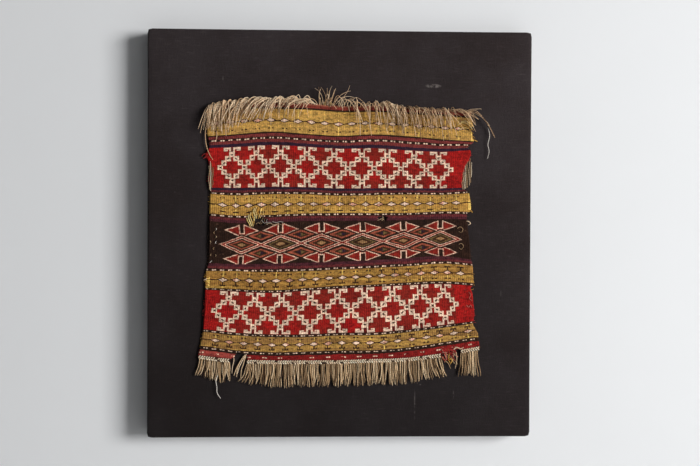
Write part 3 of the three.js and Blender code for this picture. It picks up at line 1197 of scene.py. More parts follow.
@dataclass
class LinenCover:
    """Linen stretched over the strainer: front, sides and the margin turned over the back."""

    width: float = 560.0
    height: float = 594.0
    thick: float = 0.9
    turnover: float = 26.0
    side_pull: float = 0.3
    edge_round: float = 2.4
    corner: float = 5.0
    columns: int = 80
    rows: int = 84
    finish: LinenFinish = field(default_factory=LinenFinish)

    def outline(self, across: np.ndarray, up: np.ndarray) -> tuple[np.ndarray, np.ndarray]:
        """Outer edge of the panel at places round a unit square.

        Args:
            across: -1 to 1 across.
            up: -1 to 1 up.

        Returns:
            x and z of the edge.
        """
        pulled_x = self.side_pull * (1 - np.abs(up) ** 6) * np.sign(across) * (np.abs(across) > 0.999)
        pulled_z = self.side_pull * (1 - np.abs(across) ** 6) * np.sign(up) * (np.abs(up) > 0.999)
        x = across * self.width / 2 - pulled_x
        z = up * self.height / 2 - pulled_z
        inner_x = self.width / 2 - self.corner
        inner_z = self.height / 2 - self.corner
        over_x, over_z = np.abs(x) - inner_x, np.abs(z) - inner_z
        rounded = (over_x > 0) & (over_z > 0)
        reach = np.maximum(np.hypot(over_x, over_z), 1e-6)
        x = np.where(rounded, np.sign(x) * (inner_x + over_x / reach * self.corner), x)
        z = np.where(rounded, np.sign(z) * (inner_z + over_z / reach * self.corner), z)
        return x, z

    def build(self) -> bpy.types.Object:
        """Models and dresses the linen.

        Returns:
            The cover as one closed sheet.
        """
        a, b = np.meshgrid(np.linspace(-1, 1, self.columns + 1), np.linspace(-1, 1, self.rows + 1))
        border_x, border_z = self.outline(a.ravel(), b.ravel())
        keep = 1 - self.edge_round / (self.width / 2)
        front = np.column_stack((border_x * keep, np.full(a.size, -FRONT_DEPTH), border_z * keep))
        flat = front[:, (0, 2)].copy()
        number = np.arange(a.size).reshape(a.shape)
        loop = np.concatenate((number[0, :-1], number[:-1, -1], number[-1, :0:-1], number[:0:-1, 0]))
        rings, flats = [loop], [flat[loop]]
        points, maps = [front], [flat]
        edge_x, edge_z = self.outline(a.ravel()[loop], b.ravel()[loop])
        out = np.column_stack((edge_x, edge_z)) - flat[loop]
        out /= np.linalg.norm(out, axis=1, keepdims=True)
        count = a.size
        gone = 0.0
        last = front[loop]
        for spot in self.wrap(edge_x, edge_z, a.ravel()[loop], b.ravel()[loop]):
            gone = gone + np.linalg.norm(spot - last, axis=1)
            points.append(spot)
            maps.append(flat[loop] + out * np.reshape(gone, (-1, 1)))
            rings.append(np.arange(count, count + len(loop)))
            count += len(loop)
            last = spot
        quads = [grid_quads(number)]
        for inner, outer in zip(rings[:-1], rings[1:]):
            quads.append(np.stack((inner, outer, np.roll(outer, -1), np.roll(inner, -1)), -1))
        faces = np.concatenate(quads)
        places = np.concatenate(maps)[faces.ravel()]
        piece = mesh_piece("linen_sheet", np.concatenate(points), faces.tolist(), places)
        piece.data.materials.append(self.finish.material())
        thicken(piece, self.thick)
        return piece

    def wrap(self, x: np.ndarray, z: np.ndarray, across: np.ndarray, up: np.ndarray) -> list[np.ndarray]:
        """Rings of points round the edge, the sides and the turned-over margin.

        Args:
            x: x of the panel's outer edge.
            z: z of the panel's outer edge.
            across: Not used.
            up: Not used.

        Returns:
            One array of points for each ring, from the front to the margin's raw edge.
        """
        rings = []
        for angle in (30.0, 60.0, 90.0):
            inset = self.edge_round * (1 - math.sin(math.radians(angle)))
            depth = -FRONT_DEPTH + self.edge_round * (1 - math.cos(math.radians(angle)))
            rings.append(self.ring(x, z, inset, depth))
        for depth in (-21.0, -14.0, -8.0, -4.0, -2.0, -0.9):
            rings.append(self.ring(x, z, 0.0, depth))
        lap = np.abs((self.width / 2 - np.abs(x)) - (self.height / 2 - np.abs(z)))
        wander = 0.7 * np.sin(x / 53.0 + z / 47.0) + 0.35 * np.sin(x / 11.0 - z / 17.0)
        for share in (0.05, 0.2, 0.4, 0.6, 0.8, 0.94, 1.0):
            inset = share * (self.turnover + wander)
            ridge = 0.55 * np.exp(-((lap / 7.0) ** 2)) * min(1.0, share * 4)
            depth = -0.6 + ridge - (0.25 if share == 1.0 else 0.0)
            rings.append(self.ring(x, z, inset, depth))
        return rings

    def ring(
        self, x: np.ndarray, z: np.ndarray, inset: np.ndarray | float, depth: np.ndarray | float
    ) -> np.ndarray:
        """One ring of points, drawn in from the outer edge.

        Args:
            x: x of the outer edge.
            z: z of the outer edge.
            inset: How far the ring lies inside it.
            depth: y of the ring.

        Returns:
            The points.
        """
        near_x, near_z = 1 - inset / (self.width / 2), 1 - inset / (self.height / 2)
        return np.column_stack((x * near_x, np.broadcast_to(depth, x.shape), z * near_z))


@dataclass
class Strainer:
    """The four bars inside the linen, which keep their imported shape."""

    lying: PineFinish = PineFinish("pine_across", (0.07, 1.0, 1.0))
    standing: PineFinish = PineFinish("pine_upright", (1.0, 1.0, 0.07))

    def dress(self) -> list[bpy.types.Object]:
        """Gives the bars their wood.

        Returns:
            The bars.
        """
        grains = {"strainer_top": self.lying, "strainer_bottom": self.lying}
        grains |= {"strainer_left": self.standing, "strainer_right": self.standing}
        made = {finish.name: finish.material() for finish in (self.lying, self.standing)}
        bars = []
        for name, finish in grains.items():
            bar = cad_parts[name]
            for slot in bar.material_slots:
                slot.material = made[finish.name]
            bars.append(bar)
        return bars


@dataclass
class WovenSheet:
    """The fragment: bands of weaving with a ragged outline and worn-through places."""

    columns: int = 204
    row_height: float = 1.95
    top: float = 178.0
    drop: float = 358.0

    def courses(self, layout: Sequence[Band]) -> tuple[list[Row], list[int], list[float]]:
        """Course lines, mesh rows and straight heights of the bands.

        Args:
            layout: The bands from the top down.

        Returns:
            The course lines, the number of rows of each band and the straight place of each line.
        """
        lines = [TOP_COURSE] + [band.lower for band in layout]
        heights = [float(np.mean(np.subtract(above, below))) for above, below in zip(lines[:-1], lines[1:])]
        rows = [max(2, math.ceil(height / self.row_height)) for height in heights]
        return lines, rows, [0.0] + list(np.cumsum(heights))

    def build(self) -> bpy.types.Object:
        """Models and dresses the fragment.

        Returns:
            The fragment as one closed sheet.
        """
        layout = bands()
        lines, rows, straight = self.courses(layout)
        share = np.linspace(0.0, 1.0, self.columns + 1)
        points, faces, places, kinds = [], [], [], []
        materials: list[bpy.types.Material] = []
        finishes: dict[str, int] = {}
        start = 0
        for number, band in enumerate(layout):
            if band.finish.name not in finishes:
                finishes[band.finish.name] = len(materials)
                materials.append(band.finish.material())
            down = np.linspace(0.0, 1.0, rows[number] + 1)
            far = straight[number] + down * (straight[number + 1] - straight[number])
            level = self.top - far * (self.drop / straight[-1])
            left, right = table_curve(LEFT_EDGE, level), table_curve(RIGHT_EDGE, level)
            x = left[:, None] + (right - left)[:, None] * share[None, :]
            above = smooth_curve(STATIONS, lines[number], x)
            below = smooth_curve(STATIONS, lines[number + 1], x)
            z = above + (below - above) * down[:, None]
            keep = slice(0, None) if number == len(layout) - 1 else slice(0, -1)
            points.append(np.stack((x[keep], self.relief(x[keep], z[keep]), z[keep]), -1).reshape(-1, 3))
            i, j = np.meshgrid(np.arange(rows[number]), np.arange(self.columns), indexing="ij")
            wide = self.columns + 1
            corner = start + i * wide + j
            faces.append(np.stack((corner + wide, corner + wide + 1, corner + 1, corner), -1).reshape(-1, 4))
            u = self.pattern_place(band, x, far)
            w = np.repeat((band.half * (1 - 2 * down))[:, None], wide, axis=1)
            spot = np.stack((u, w), -1)
            corners = np.stack((spot[1:, :-1], spot[1:, 1:], spot[:-1, 1:], spot[:-1, :-1]), 2)
            places.append(corners.reshape(-1, 4, 2))
            kinds.append(np.full(i.size, finishes[band.finish.name]))
            start += rows[number] * wide
        spots, quads = np.concatenate(points), np.concatenate(faces)
        kept = ~self.lost(spots[quads].mean(axis=1))
        used, again = np.unique(quads[kept], return_inverse=True)
        piece = mesh_piece(
            "woven_sheet",
            spots[used],
            again.reshape(-1, 4).tolist(),
            np.concatenate(places)[kept].reshape(-1, 2),
            np.concatenate(kinds)[kept],
            materials,
        )
        thicken(piece, CLOTH_THICK - 0.2)
        return piece

    def pattern_place(self, band: Band, x: np.ndarray, far: np.ndarray) -> np.ndarray:
        """Place across the band's pattern.

        Args:
            band: The band.
            x: x of the mesh points.
            far: Straight distance of each mesh row from the top.

        Returns:
            Millimetres in the pattern's own pitch, 0 at the first motif.
        """
        left, right = table_curve(WARP_LINES, far, 1), table_curve(WARP_LINES, far, 2)
        middle = float(np.mean(far))
        first, last = table_curve(WARP_LINES, middle, 1), table_curve(WARP_LINES, middle, 2)
        across = first + (x - left[:, None]) / (right - left)[:, None] * (last - first)
        if band.kind is BandKind.PLAIN:
            return across
        places = np.array(band.centres, float)
        longer = np.concatenate(([2 * places[0] - places[1]], places, [2 * places[-1] - places[-2]]))
        return np.interp(across, longer, np.arange(-1, len(places) + 1)) * band.pitch

    def relief(self, x: np.ndarray, z: np.ndarray) -> np.ndarray:
        """y of the woven face with its puckers.

        Args:
            x: Places across.
            z: Places up.

        Returns:
            y in millimetres.
        """
        pucker = 0.22 * np.sin(x / 5.1 + 1.7 * np.sin(z / 13.0)) * np.sin(z / 6.3 + np.sin(x / 21.0))
        return face_depth(x, z) - pucker

    def lost(self, middles: np.ndarray) -> np.ndarray:
        """Mask of the mesh faces that are worn away.

        Args:
            middles: Middle of each face.

        Returns:
            True where the weaving is gone.
        """
        x, z = middles[:, 0], middles[:, 2]
        gone = np.zeros(len(middles), bool)
        for middle_x, middle_z, wide, tall in LOSSES:
            turn = np.arctan2((z - middle_z) / tall, (x - middle_x) / wide)
            ragged = 1 + 0.14 * np.sin(5 * turn + middle_x) + 0.12 * np.sin(11 * turn)
            ragged = ragged + 0.1 * np.sin(2.3 * x)
            gone |= np.hypot((x - middle_x) / wide, (z - middle_z) / tall) < ragged
        return gone


@dataclass
class UpperFringe:
    """The red-brown end stripe and the warp ends that spring from it and fall over the face.

    A row of the fall gives x, the tip's sideways reach, the arch, the tip's drop, the spread and how
    thickly the ends stand.
    """

    height: float = 6.5
    thick: float = 2.4
    locks: int = 112
    ends: int = 3
    steps: int = 12
    run: float = 9.0
    seed: int = 21
    fall: tuple[Row, ...] = (
        (-190, -4, 4, 25, 6, 1.7),
        (-182, -7, 6, 32, 7, 1.7),
        (-168, -8, 8, 34, 9, 1.6),
        (-150, -17, 8, 28, 10, 1.4),
        (-120, -24, 9, 20, 10, 1.2),
        (-90, -24, 10, 17, 10, 1.0),
        (-60, -24, 10, 9, 9, 0.75),
        (-36, -22, 9, 5, 8, 0.6),
        (-29, -9, 4, -14, 7, 0.8),
        (-17, 4, 4, -15, 7, 0.8),
        (-8, 16, 14, 5, 9, 0.4),
        (12, 17, 14, 22, 9, 0.3),
        (40, 14, 12, 26, 9, 0.45),
        (60, 12, 11, 26, 9, 1.2),
        (78, 8, 7, 30, 8, 1.25),
        (92, 5, 5, 30, 7, 1.25),
        (120, 9, 4, 26, 7, 1.2),
        (145, 14, 4, 24, 7, 1.1),
        (160, 17, 5, 19, 8, 0.7),
        (174, 24, 5, 10, 9, 0.6),
        (188, 22, 4, 16, 10, 0.7),
    )

    def build(self) -> bpy.types.Object:
        """Models and dresses the stripe and the warp ends.

        Returns:
            One piece.
        """
        stripe = StripeBand("end_stripe", (Stripe(2.4, dye(134, 74, 56)), Stripe(4.1, dye(118, 48, 38))))
        strip = edge_strip("upper_fringe", -190, 190, UPPER_EDGE, self.height, self.thick, stripe.material())
        return join((strip, self.warp_ends()))

    def warp_ends(self) -> bpy.types.Object:
        """The warp ends.

        Returns:
            One mesh of yarns.
        """
        chance = np.random.default_rng(self.seed)
        bundle = YarnBundle()
        for x in np.linspace(-188, 187, self.locks) + chance.normal(0, 0.7, self.locks):
            row = (float(table_curve(self.fall, x, part)) for part in range(1, 6))
            reach, arch, drop, spread, kept = row
            reach += chance.normal(0, spread * 0.85)
            drop += chance.normal(0, 4.5)
            lift = self.run * chance.uniform(0.45, 1.0)
            # Paler on the left: partly the yarns' own tone, partly painted light where the ends shade each
            # other less.
            paleness_and_painted_light = 0.86 if x < -90 else 0.72 if x < 70 else 0.5
            tone = chance.normal(paleness_and_painted_light, 0.2)
            for _ in range(int(self.ends * kept + chance.uniform())):
                root = x + chance.normal(0, 1.3)
                tip = reach + chance.normal(0, 6.0)
                fall = drop + chance.normal(0, 7.0)
                self.warp_end(bundle, chance, (root, tip, arch + chance.normal(0, 1.6), fall, lift, tone))
        return bundle.build("warp_ends")

    def warp_end(self, bundle: YarnBundle, chance: np.random.Generator, course: Row) -> None:
        """Adds one warp end.

        Args:
            bundle: The yarns so far.
            chance: Source of small unevenness.
            course: x of its root, the tip's reach, the arch, the drop, the lift and the tint.
        """
        x, reach, arch, drop, lift, tone = course
        s = np.linspace(0.0, 1.0, self.steps)
        root = table_curve(UPPER_EDGE, x) + self.height - chance.uniform(0.5, 3.0)
        curl = chance.normal(0, 2.2) * np.sin(s * math.pi * chance.uniform(1.0, 3.0)) * s
        crimp = chance.normal(0, 1.0) * np.sin(s * math.pi * chance.uniform(2.0, 4.0)) * s
        path_x = x + reach * s**1.25 + curl
        path_z = root + 4 * max(arch, 2.0) * s * (1 - s) - drop * s**2 + crimp
        rise = lift * (1 - (1 - s) ** 2) * chance.uniform(0.8, 1.1)
        path_y = -(FRONT_DEPTH + CLOTH_LIFT + 1.6) - rise - 1.5 * s
        radius = chance.uniform(0.45, 0.8) * (1.0 if x < -40 else 0.85) * (1 - 0.45 * s**3)
        tint = float(np.clip(tone + chance.normal(0, 0.28), 0.0, 1.0))
        bundle.add(np.column_stack((path_x, path_y, path_z)), radius, tint, YarnTone.TAN)


def edge_strip(
    name: str,
    first: float,
    last: float,
    edge: Sequence[Row],
    height: float,
    thick: float,
    material: bpy.types.Material,
) -> bpy.types.Object:
    """A narrow strip that lies along an edge of the fragment.

    Args:
        name: Name of the piece.
        first: x where it starts.
        last: x where it ends.
        edge: The edge that the strip sits on.
        height: How far it reaches up, or down if negative.
        thick: Its thickness.
        material: Its material.

    Returns:
        The strip.
    """
    columns, rows = max(4, round((last - first) / 2.0)), 4
    x, share = np.meshgrid(np.linspace(first, last, columns + 1), np.linspace(0.0, 1.0, rows + 1))
    low, high = min(height, 0.0), max(height, 0.0)
    uneven = 0.5 * np.sin(x / 4.7) * np.sin(x / 11.3) * (share if height > 0 else 1 - share)
    z = table_curve(edge, x) + low + (high - low) * share + uneven
    rounding = 0.45 * (2 * share - 1) ** 2
    points = np.stack((x, face_depth(x, z, thick) + rounding, z), -1).reshape(-1, 3)
    faces = grid_quads(np.arange(x.size).reshape(x.shape))
    flat = np.column_stack((x.ravel(), (share.ravel() - 0.5) * abs(height)))
    piece = mesh_piece(name, points, faces.tolist(), flat[faces.ravel()], None, (material,))
    thicken(piece, thick - 0.2)
    return piece


@dataclass
class LowerFringe:
    """One stretch of the twined heading with its hanging warp ends.

    A row of the fall gives x, the tip's sideways reach and the tip's height.
    """

    name: str
    first: float
    last: float
    fall: tuple[Row, ...]
    seed: int
    height: float = 5.0
    thick: float = 2.6
    pitch: float = 3.4
    end_pitch: float = 1.05
    lock_width: float = 6.3
    steps: int = 9
    run: float = 1.6

    def build(self) -> bpy.types.Object:
        """Models and dresses the heading and the warp ends.

        Returns:
            One piece.
        """
        base = StripeBand(f"{self.name}_base", (Stripe(5.0, DYES.dark),))
        paint = base.material()
        strip = edge_strip(self.name, self.first, self.last, LOWER_EDGE, -self.height, self.thick, paint)
        return join((strip, self.yarns()))

    def yarns(self) -> bpy.types.Object:
        """The twined stitches and the warp ends.

        Returns:
            One mesh of yarns.
        """
        chance = np.random.default_rng(self.seed)
        bundle = YarnBundle()
        for x in np.arange(self.first + 1.5, self.last - 0.5, self.pitch):
            for row, slant in ((1.3, 1.0), (3.8, -1.0)):
                self.stitch(bundle, x + chance.normal(0, 0.15), row, slant, chance)
        s = np.linspace(0.0, 1.0, self.steps)
        for x in np.arange(self.first + 0.8, self.last - 0.4, self.end_pitch):
            start = x + chance.normal(0, 0.35)
            lock = math.floor(x / self.lock_width)
            sway = 2.2 * math.sin(lock * 2.4) + (self.lock_width * (lock + 0.5) - x) * 0.15
            drift = table_curve(self.fall, x, 1) + sway + chance.normal(0, 1.3)
            tip = table_curve(self.fall, x, 2) + 0.8 * math.sin(lock * 1.7) + chance.normal(0.6, 1.5)
            root = table_curve(LOWER_EDGE, x) - self.height + 1.6
            bend = chance.normal(0, 1.1) * np.sin(s * math.pi * chance.uniform(1.0, 2.0))
            bend = bend + 0.4 * np.sin(s * chance.uniform(9.0, 16.0) + chance.uniform(0.0, 6.0)) * s
            z = root + (tip - root) * s
            y = -(FRONT_DEPTH + CLOTH_LIFT + chance.uniform(0.9, 2.6)) - chance.uniform(0.0, self.run) * s
            path = np.column_stack((start + drift * s**2 + bend, y, z))
            radius = chance.uniform(0.44, 0.76) * (1 - 0.4 * s**4)
            tint = float(np.clip(chance.normal(0.5, 0.34), 0.0, 1.0))
            bundle.add(path, radius, tint, YarnTone.GREY)
        return bundle.build("hanging_ends")

    def stitch(
        self,
        bundle: YarnBundle,
        x: float,
        down: float,
        slant: float,
        chance: np.random.Generator,
    ) -> None:
        """Adds one slanted stitch of the twining.

        Args:
            bundle: The yarns so far.
            x: Middle of the stitch.
            down: How far below the cloth's edge its middle lies.
            slant: 1 for one way, -1 for the other.
            chance: Source of small unevenness.
        """
        s = np.linspace(-1.0, 1.0, 6)
        z = table_curve(LOWER_EDGE, x) - down + slant * s * 1.25
        path_x = x + s * 1.75
        y = face_depth(path_x, z, self.thick) - 0.25 * (1 - s**2)
        radius = np.array((0.35, 0.8, 1.0, 1.0, 0.8, 0.35))
        tone = YarnTone.CREAM if chance.uniform() > 0.06 else YarnTone.DARK
        bundle.add(np.column_stack((path_x, y, z)), radius, float(chance.uniform(0.4, 1.0)), tone)


@dataclass(frozen=True)
class Thread:
    """A loose thread: its points as x, z, its radius, yarn and how far it stands off."""

    points: tuple[Row, ...]
    radius: float
    tone: YarnTone
    off: float = 0.6


# Lowest height at which the side edges show each yarn, from the top down.
EDGE_TONES = (
    (143, YarnTone.OCHRE),
    (125, YarnTone.DARK),
    (67, YarnTone.RED),
    (56, YarnTone.DARK),
    (30, YarnTone.OCHRE),
    (-54, YarnTone.DARK),
    (-81, YarnTone.OCHRE),
    (-143, YarnTone.RED),
    (FAR_OFF, YarnTone.OCHRE),
)


@dataclass
class LooseThreads:
    """Pulled wefts, bare warps and broken strands round the edges and the worn places.

    A row of the warps gives x and the heights between which the warp lies bare.
    """

    seed: int = 8
    frayed: int = 34
    edge_ends: int = 150
    edge_reach: float = 168.0
    torn_across: tuple[float, float] = (146.0, 166.0)
    torn_up: tuple[float, float] = (-179.0, -164.0)
    threads: tuple[Thread, ...] = (
        Thread(((-136, 23), (-135, 19), (-132, 14), (-131, 10)), 0.9, YarnTone.YELLOW, 1.2),
        Thread(((-133, 28), (-133, 22), (-130.5, 16), (-128.5, 11)), 0.9, YarnTone.YELLOW, 1.6),
        Thread(((-130, 31), (-131, 25), (-128.5, 18), (-126.5, 11)), 0.9, YarnTone.YELLOW, 1.9),
        Thread(((-127, 34), (-128, 28), (-126, 21), (-125.5, 14)), 0.8, YarnTone.OCHRE, 1.5),
        Thread(((-125, 37), (-126, 32), (-124, 26), (-125, 19)), 0.8, YarnTone.YELLOW, 2.0),
        Thread(((-122, 39), (-123.5, 34), (-121.5, 28), (-122, 22)), 0.8, YarnTone.YELLOW, 2.0),
        Thread(((-119, 39), (-120.5, 33), (-118.5, 28), (-119, 22)), 0.7, YarnTone.OCHRE, 1.6),
        Thread(((-116, 36), (-116, 31), (-117.5, 27), (-116, 23)), 0.7, YarnTone.YELLOW, 1.8),
        Thread(((-113, 34), (-112, 30), (-113.5, 26)), 0.6, YarnTone.YELLOW, 1.6),
        Thread(((-123, 14), (-119, 16.5), (-116, 14), (-113, 17)), 0.5, YarnTone.BARE, 0.2),
        Thread(((-111, 27), (-113, 22), (-115.5, 18), (-118, 15)), 0.3, YarnTone.GREY, 1.0),
        Thread(((-109, 25), (-110, 20), (-111, 15), (-109, 11)), 0.3, YarnTone.GREY, 1.2),
        Thread(((-106, 22), (-107, 18), (-106, 13)), 0.3, YarnTone.WHITE, 1.6),
        Thread(((-115, 20), (-110, 16), (-105, 17), (-100, 16)), 0.3, YarnTone.WHITE, 1.6),
        Thread(((-108, 14), (-102, 15.5), (-97, 13.5), (-91, 15)), 0.35, YarnTone.GREY, 2.2),
        Thread(((-99, 18), (-93, 16.5), (-88, 18), (-83, 17)), 0.35, YarnTone.WHITE, 2.2),
        Thread(((-96, 13), (-90, 14.5), (-84, 12.5)), 0.35, YarnTone.GREY, 2.2),
        Thread(((53, 24), (56, 21.5), (60, 23), (64, 21)), 0.4, YarnTone.GREY, 1.2),
        Thread(((54, 20), (58, 22), (61, 19.5)), 0.4, YarnTone.GREY, 2.2),
        Thread(((61.5, 27), (62, 23), (61, 19)), 0.6, YarnTone.BARE, 0.3),
        Thread(((-26, 189), (-27, 198), (-31, 206), (-38, 212)), 0.35, YarnTone.TAN, 4.0),
        Thread(((-22, 189), (-22, 199), (-25, 207), (-29, 213)), 0.35, YarnTone.TAN, 4.5),
        Thread(((-24, 189), (-22, 198), (-20, 205), (-20, 212)), 0.35, YarnTone.TAN, 4.0),
        Thread(((-20, 189), (-17, 199), (-16, 208), (-13, 215)), 0.35, YarnTone.CREAM, 4.5),
        Thread(((-16, 188), (-12, 197), (-10, 204), (-10, 210)), 0.35, YarnTone.TAN, 4.0),
        Thread(((-24, 187), (-22, 193), (-19, 198)), 0.6, YarnTone.YELLOW, 3.0),
        Thread(((-19, 187), (-18, 193), (-14, 198)), 0.6, YarnTone.CREAM, 3.0),
        Thread(((-15, 187), (-14, 192), (-15, 198)), 0.6, YarnTone.YELLOW, 3.0),
        Thread(((-10, 188), (-3, 199), (5, 205), (14, 208)), 0.4, YarnTone.TAN, 4.5),
        Thread(((-8, 188), (1, 197), (10, 200), (21, 198)), 0.4, YarnTone.CREAM, 4.5),
        Thread(((-2, 187), (5, 200), (10, 208), (13, 216)), 0.35, YarnTone.TAN, 4.0),
        Thread(((2, 187), (12, 196), (24, 198), (34, 191)), 0.4, YarnTone.TAN, 4.0),
        Thread(((-193, 160), (-196, 150), (-195, 130), (-190, 115), (-185, 107)), 0.7, YarnTone.TAN, 1.2),
        Thread(((-180, 150), (-179.5, 141), (-181, 133)), 0.7, YarnTone.TAN, 1.0),
        Thread(((186, 181), (201, 176), (214, 162), (225, 142)), 0.7, YarnTone.TAN, 2.5),
        Thread(((215, 157), (217.5, 145), (215, 132), (217, 122), (214.5, 111)), 0.5, YarnTone.WHITE, 1.2),
        Thread(
            ((-177, -205), (-180, -213), (-178.5, -222), (-178, -231), (-173, -239)), 0.6, YarnTone.WHITE, 0.5
        ),
        Thread(((-138, -176), (-144, -184), (-150, -195), (-154, -206)), 0.8, YarnTone.GREY, 0.7),
        Thread(((-140, -178), (-146, -188), (-149, -197), (-150, -208)), 0.7, YarnTone.GREY, 0.9),
        Thread(((-155, -176), (-154, -184), (-156, -193), (-157, -203)), 0.7, YarnTone.CREAM, 0.5),
        Thread(((149, -168), (153, -171), (155, -177), (158, -184)), 0.8, YarnTone.RED, 0.9),
        Thread(((151, -172), (154, -175), (155, -181), (153, -187)), 0.7, YarnTone.RED, 0.7),
        Thread(((153, -166), (158, -170), (164, -168), (170, -171)), 0.8, YarnTone.RED, 0.7),
        Thread(((154, -170), (160, -174), (166, -172), (171, -175)), 0.7, YarnTone.RED, 0.5),
        Thread(((155, -174), (162, -178), (168, -176), (173, -179)), 0.6, YarnTone.PINK, 0.4),
        Thread(((158, -166), (160, -173), (159, -182), (162, -190)), 0.7, YarnTone.OCHRE, 0.6),
        Thread(((165, -168), (167, -175), (165, -183), (168, -189)), 0.6, YarnTone.BARE, 0.5),
        Thread(
            ((160, -183), (162.5, -181.5), (164, -185), (161.5, -188), (160, -185)), 1.1, YarnTone.OCHRE, 0.5
        ),
        Thread(((158, -179), (164, -182), (169, -185), (173, -190)), 0.5, YarnTone.BARE, 0.4),
        Thread(((150, -178), (154, -184), (159, -189), (162, -196)), 0.6, YarnTone.GREY, 0.6),
        Thread(((188, -84), (191, -88), (189, -93), (193, -97)), 0.4, YarnTone.PINK, 2.2),
        Thread(((185, -103), (188, -106), (191, -103), (193, -107)), 0.4, YarnTone.PINK, 2.2),
        Thread(((-136, -175), (-141, -183), (-146, -193), (-149, -203)), 0.7, YarnTone.CREAM, 1.1),
        Thread(((-137, -178), (-140, -188), (-143, -198), (-144, -210)), 0.7, YarnTone.GREY, 0.9),
        Thread(((166, -168), (171, -165), (176, -167), (181, -165)), 0.9, YarnTone.CREAM, 0.8),
        Thread(((170, -172), (171, -183), (169, -196)), 0.7, YarnTone.GREY, 0.5),
        Thread(((-191, 113), (-195, 116), (-199, 114.5), (-201, 112)), 0.8, YarnTone.RED, 0.4),
        Thread(((-190, 111), (-195, 111), (-199, 109)), 0.7, YarnTone.RED, 0.4),
        Thread(((192, 139), (196, 138), (200, 136)), 0.8, YarnTone.OCHRE, 0.4),
        Thread(((184, 20), (188, 19), (190, 16), (187, 14)), 0.8, YarnTone.CREAM, 0.5),
        Thread(((187, 33), (191, 35), (193, 32)), 0.8, YarnTone.OCHRE, 0.4),
        Thread(((-193.5, -65), (-196, -66.5), (-198, -67.5)), 0.9, YarnTone.CREAM, 1.2),
        Thread(((171, 9), (175, 11.5), (179, 8), (177, 3.5), (173, 4.5)), 0.4, YarnTone.GREY, 2.4),
        Thread(((173, -14), (177, -13), (180, -17), (176.5, -21.5), (173.5, -19)), 0.4, YarnTone.GREY, 2.4),
        Thread(((170, 160), (178, 163.5), (186, 160.5), (192, 154)), 0.9, YarnTone.YELLOW, 2.2),
        Thread(((168, 156), (176, 159.5), (185, 157), (190, 151)), 0.8, YarnTone.OCHRE, 2.4),
        Thread(((175, 165), (183, 165), (190, 161), (194, 157)), 0.8, YarnTone.YELLOW, 2.4),
        Thread(((172, 153), (180, 156), (187, 154.5)), 0.7, YarnTone.YELLOW, 2.4),
        Thread(((-180, 8), (-179.5, 6.5), (-180.5, 5)), 0.4, YarnTone.WHITE, 2.3),
        Thread(((-180.5, -3), (-179.5, -4.5), (-180.5, -6)), 0.4, YarnTone.GREY, 2.3),
        Thread(((-180, -11), (-181, -12.5), (-180, -14)), 0.4, YarnTone.WHITE, 2.3),
        Thread(((-189, -10), (-187.5, -12), (-189, -14)), 0.4, YarnTone.GREY, 2.3),
        Thread(((-181, -30), (-180, -31.5), (-181, -33)), 0.4, YarnTone.GREY, 2.3),
        Thread(((-186, -39), (-188, -41), (-189.5, -42)), 0.45, YarnTone.WHITE, 2.3),
        Thread(((-182, 3), (-183.5, 1.5), (-182, 0)), 0.5, YarnTone.GREY, 2.3),
        Thread(((-183, -20), (-184.5, -21.5), (-183, -23)), 0.45, YarnTone.GREY, 2.3),
        Thread(((-187, -29), (-188.5, -31), (-187, -32)), 0.45, YarnTone.GREY, 2.3),
    )
    bare_warps: tuple[Row, ...] = (
        (178.5, 66, 92), (180.5, 66, 99), (182.5, 67, 104), (184.3, 68, 106), (186.2, 69, 109),
        (188, 72, 111), (189.8, 76, 112), (191.3, 84, 106),
    )
    frayed_warps: tuple[Row, ...] = (
        (-190, 64, 98), (-188.4, 62, 105), (-186.6, 66, 102), (-184.9, 70, 96),
    )

    def build(self) -> bpy.types.Object:
        """Models and dresses the threads.

        Returns:
            One mesh of yarns.
        """
        chance = np.random.default_rng(self.seed)
        bundle = YarnBundle()
        for thread in self.threads:
            self.lay(bundle, thread, chance)
        for warps, off in ((self.bare_warps, 0.1), (self.frayed_warps, 2.2)):
            for x, low, high in warps:
                heights = np.linspace(low, high, 6)
                wander = x + chance.normal(0, 0.45, 6)
                spots = tuple(zip(wander.tolist(), heights.tolist()))
                tone = YarnTone.CREAM if chance.uniform() < 0.45 else YarnTone.BARE
                self.lay(bundle, Thread(spots, 0.5, tone, off), chance)
        self.fray(bundle, chance)
        self.wisps(bundle, chance)
        return bundle.build("loose_threads")

    def fray(self, bundle: YarnBundle, chance: np.random.Generator) -> None:
        """Adds the thin broken wefts that hang in the torn corner.

        Args:
            bundle: The yarns so far.
            chance: Source of small unevenness.
        """
        for _ in range(self.frayed):
            x, z = chance.uniform(*self.torn_across), chance.uniform(*self.torn_up)
            wide, tall = chance.uniform(3, 9), chance.uniform(-11, 1)
            bow = chance.normal(0, 2.0)
            spots = ((x, z), (x + wide * 0.5, z + tall * 0.4 + bow), (x + wide, z + tall))
            tone = (YarnTone.RED, YarnTone.RED, YarnTone.PINK, YarnTone.BARE)[int(chance.integers(4))]
            weft = Thread(spots, chance.uniform(0.3, 0.55), tone, chance.uniform(0.2, 2.4))
            self.lay(bundle, weft, chance)

    def wisps(self, bundle: YarnBundle, chance: np.random.Generator) -> None:
        """Adds the short weft ends that stand out of both side edges.

        Args:
            bundle: The yarns so far.
            chance: Source of small unevenness.
        """
        for _ in range(self.edge_ends):
            z = chance.uniform(-self.edge_reach, self.edge_reach)
            edge, way = (LEFT_EDGE, -1) if chance.uniform() < 0.5 else (RIGHT_EDGE, 1)
            x, out = float(table_curve(edge, z)), way * chance.uniform(0.8, 3.2)
            fall = chance.normal(0, 1.6)
            spots = ((x - out * 0.8, z), (x + out * 0.4, z + fall * 0.3), (x + out, z + fall))
            tone = next(tone for low, tone in EDGE_TONES if z > low)
            weft = Thread(spots, chance.uniform(0.25, 0.42), tone, chance.uniform(0.1, 0.9))
            self.lay(bundle, weft, chance)

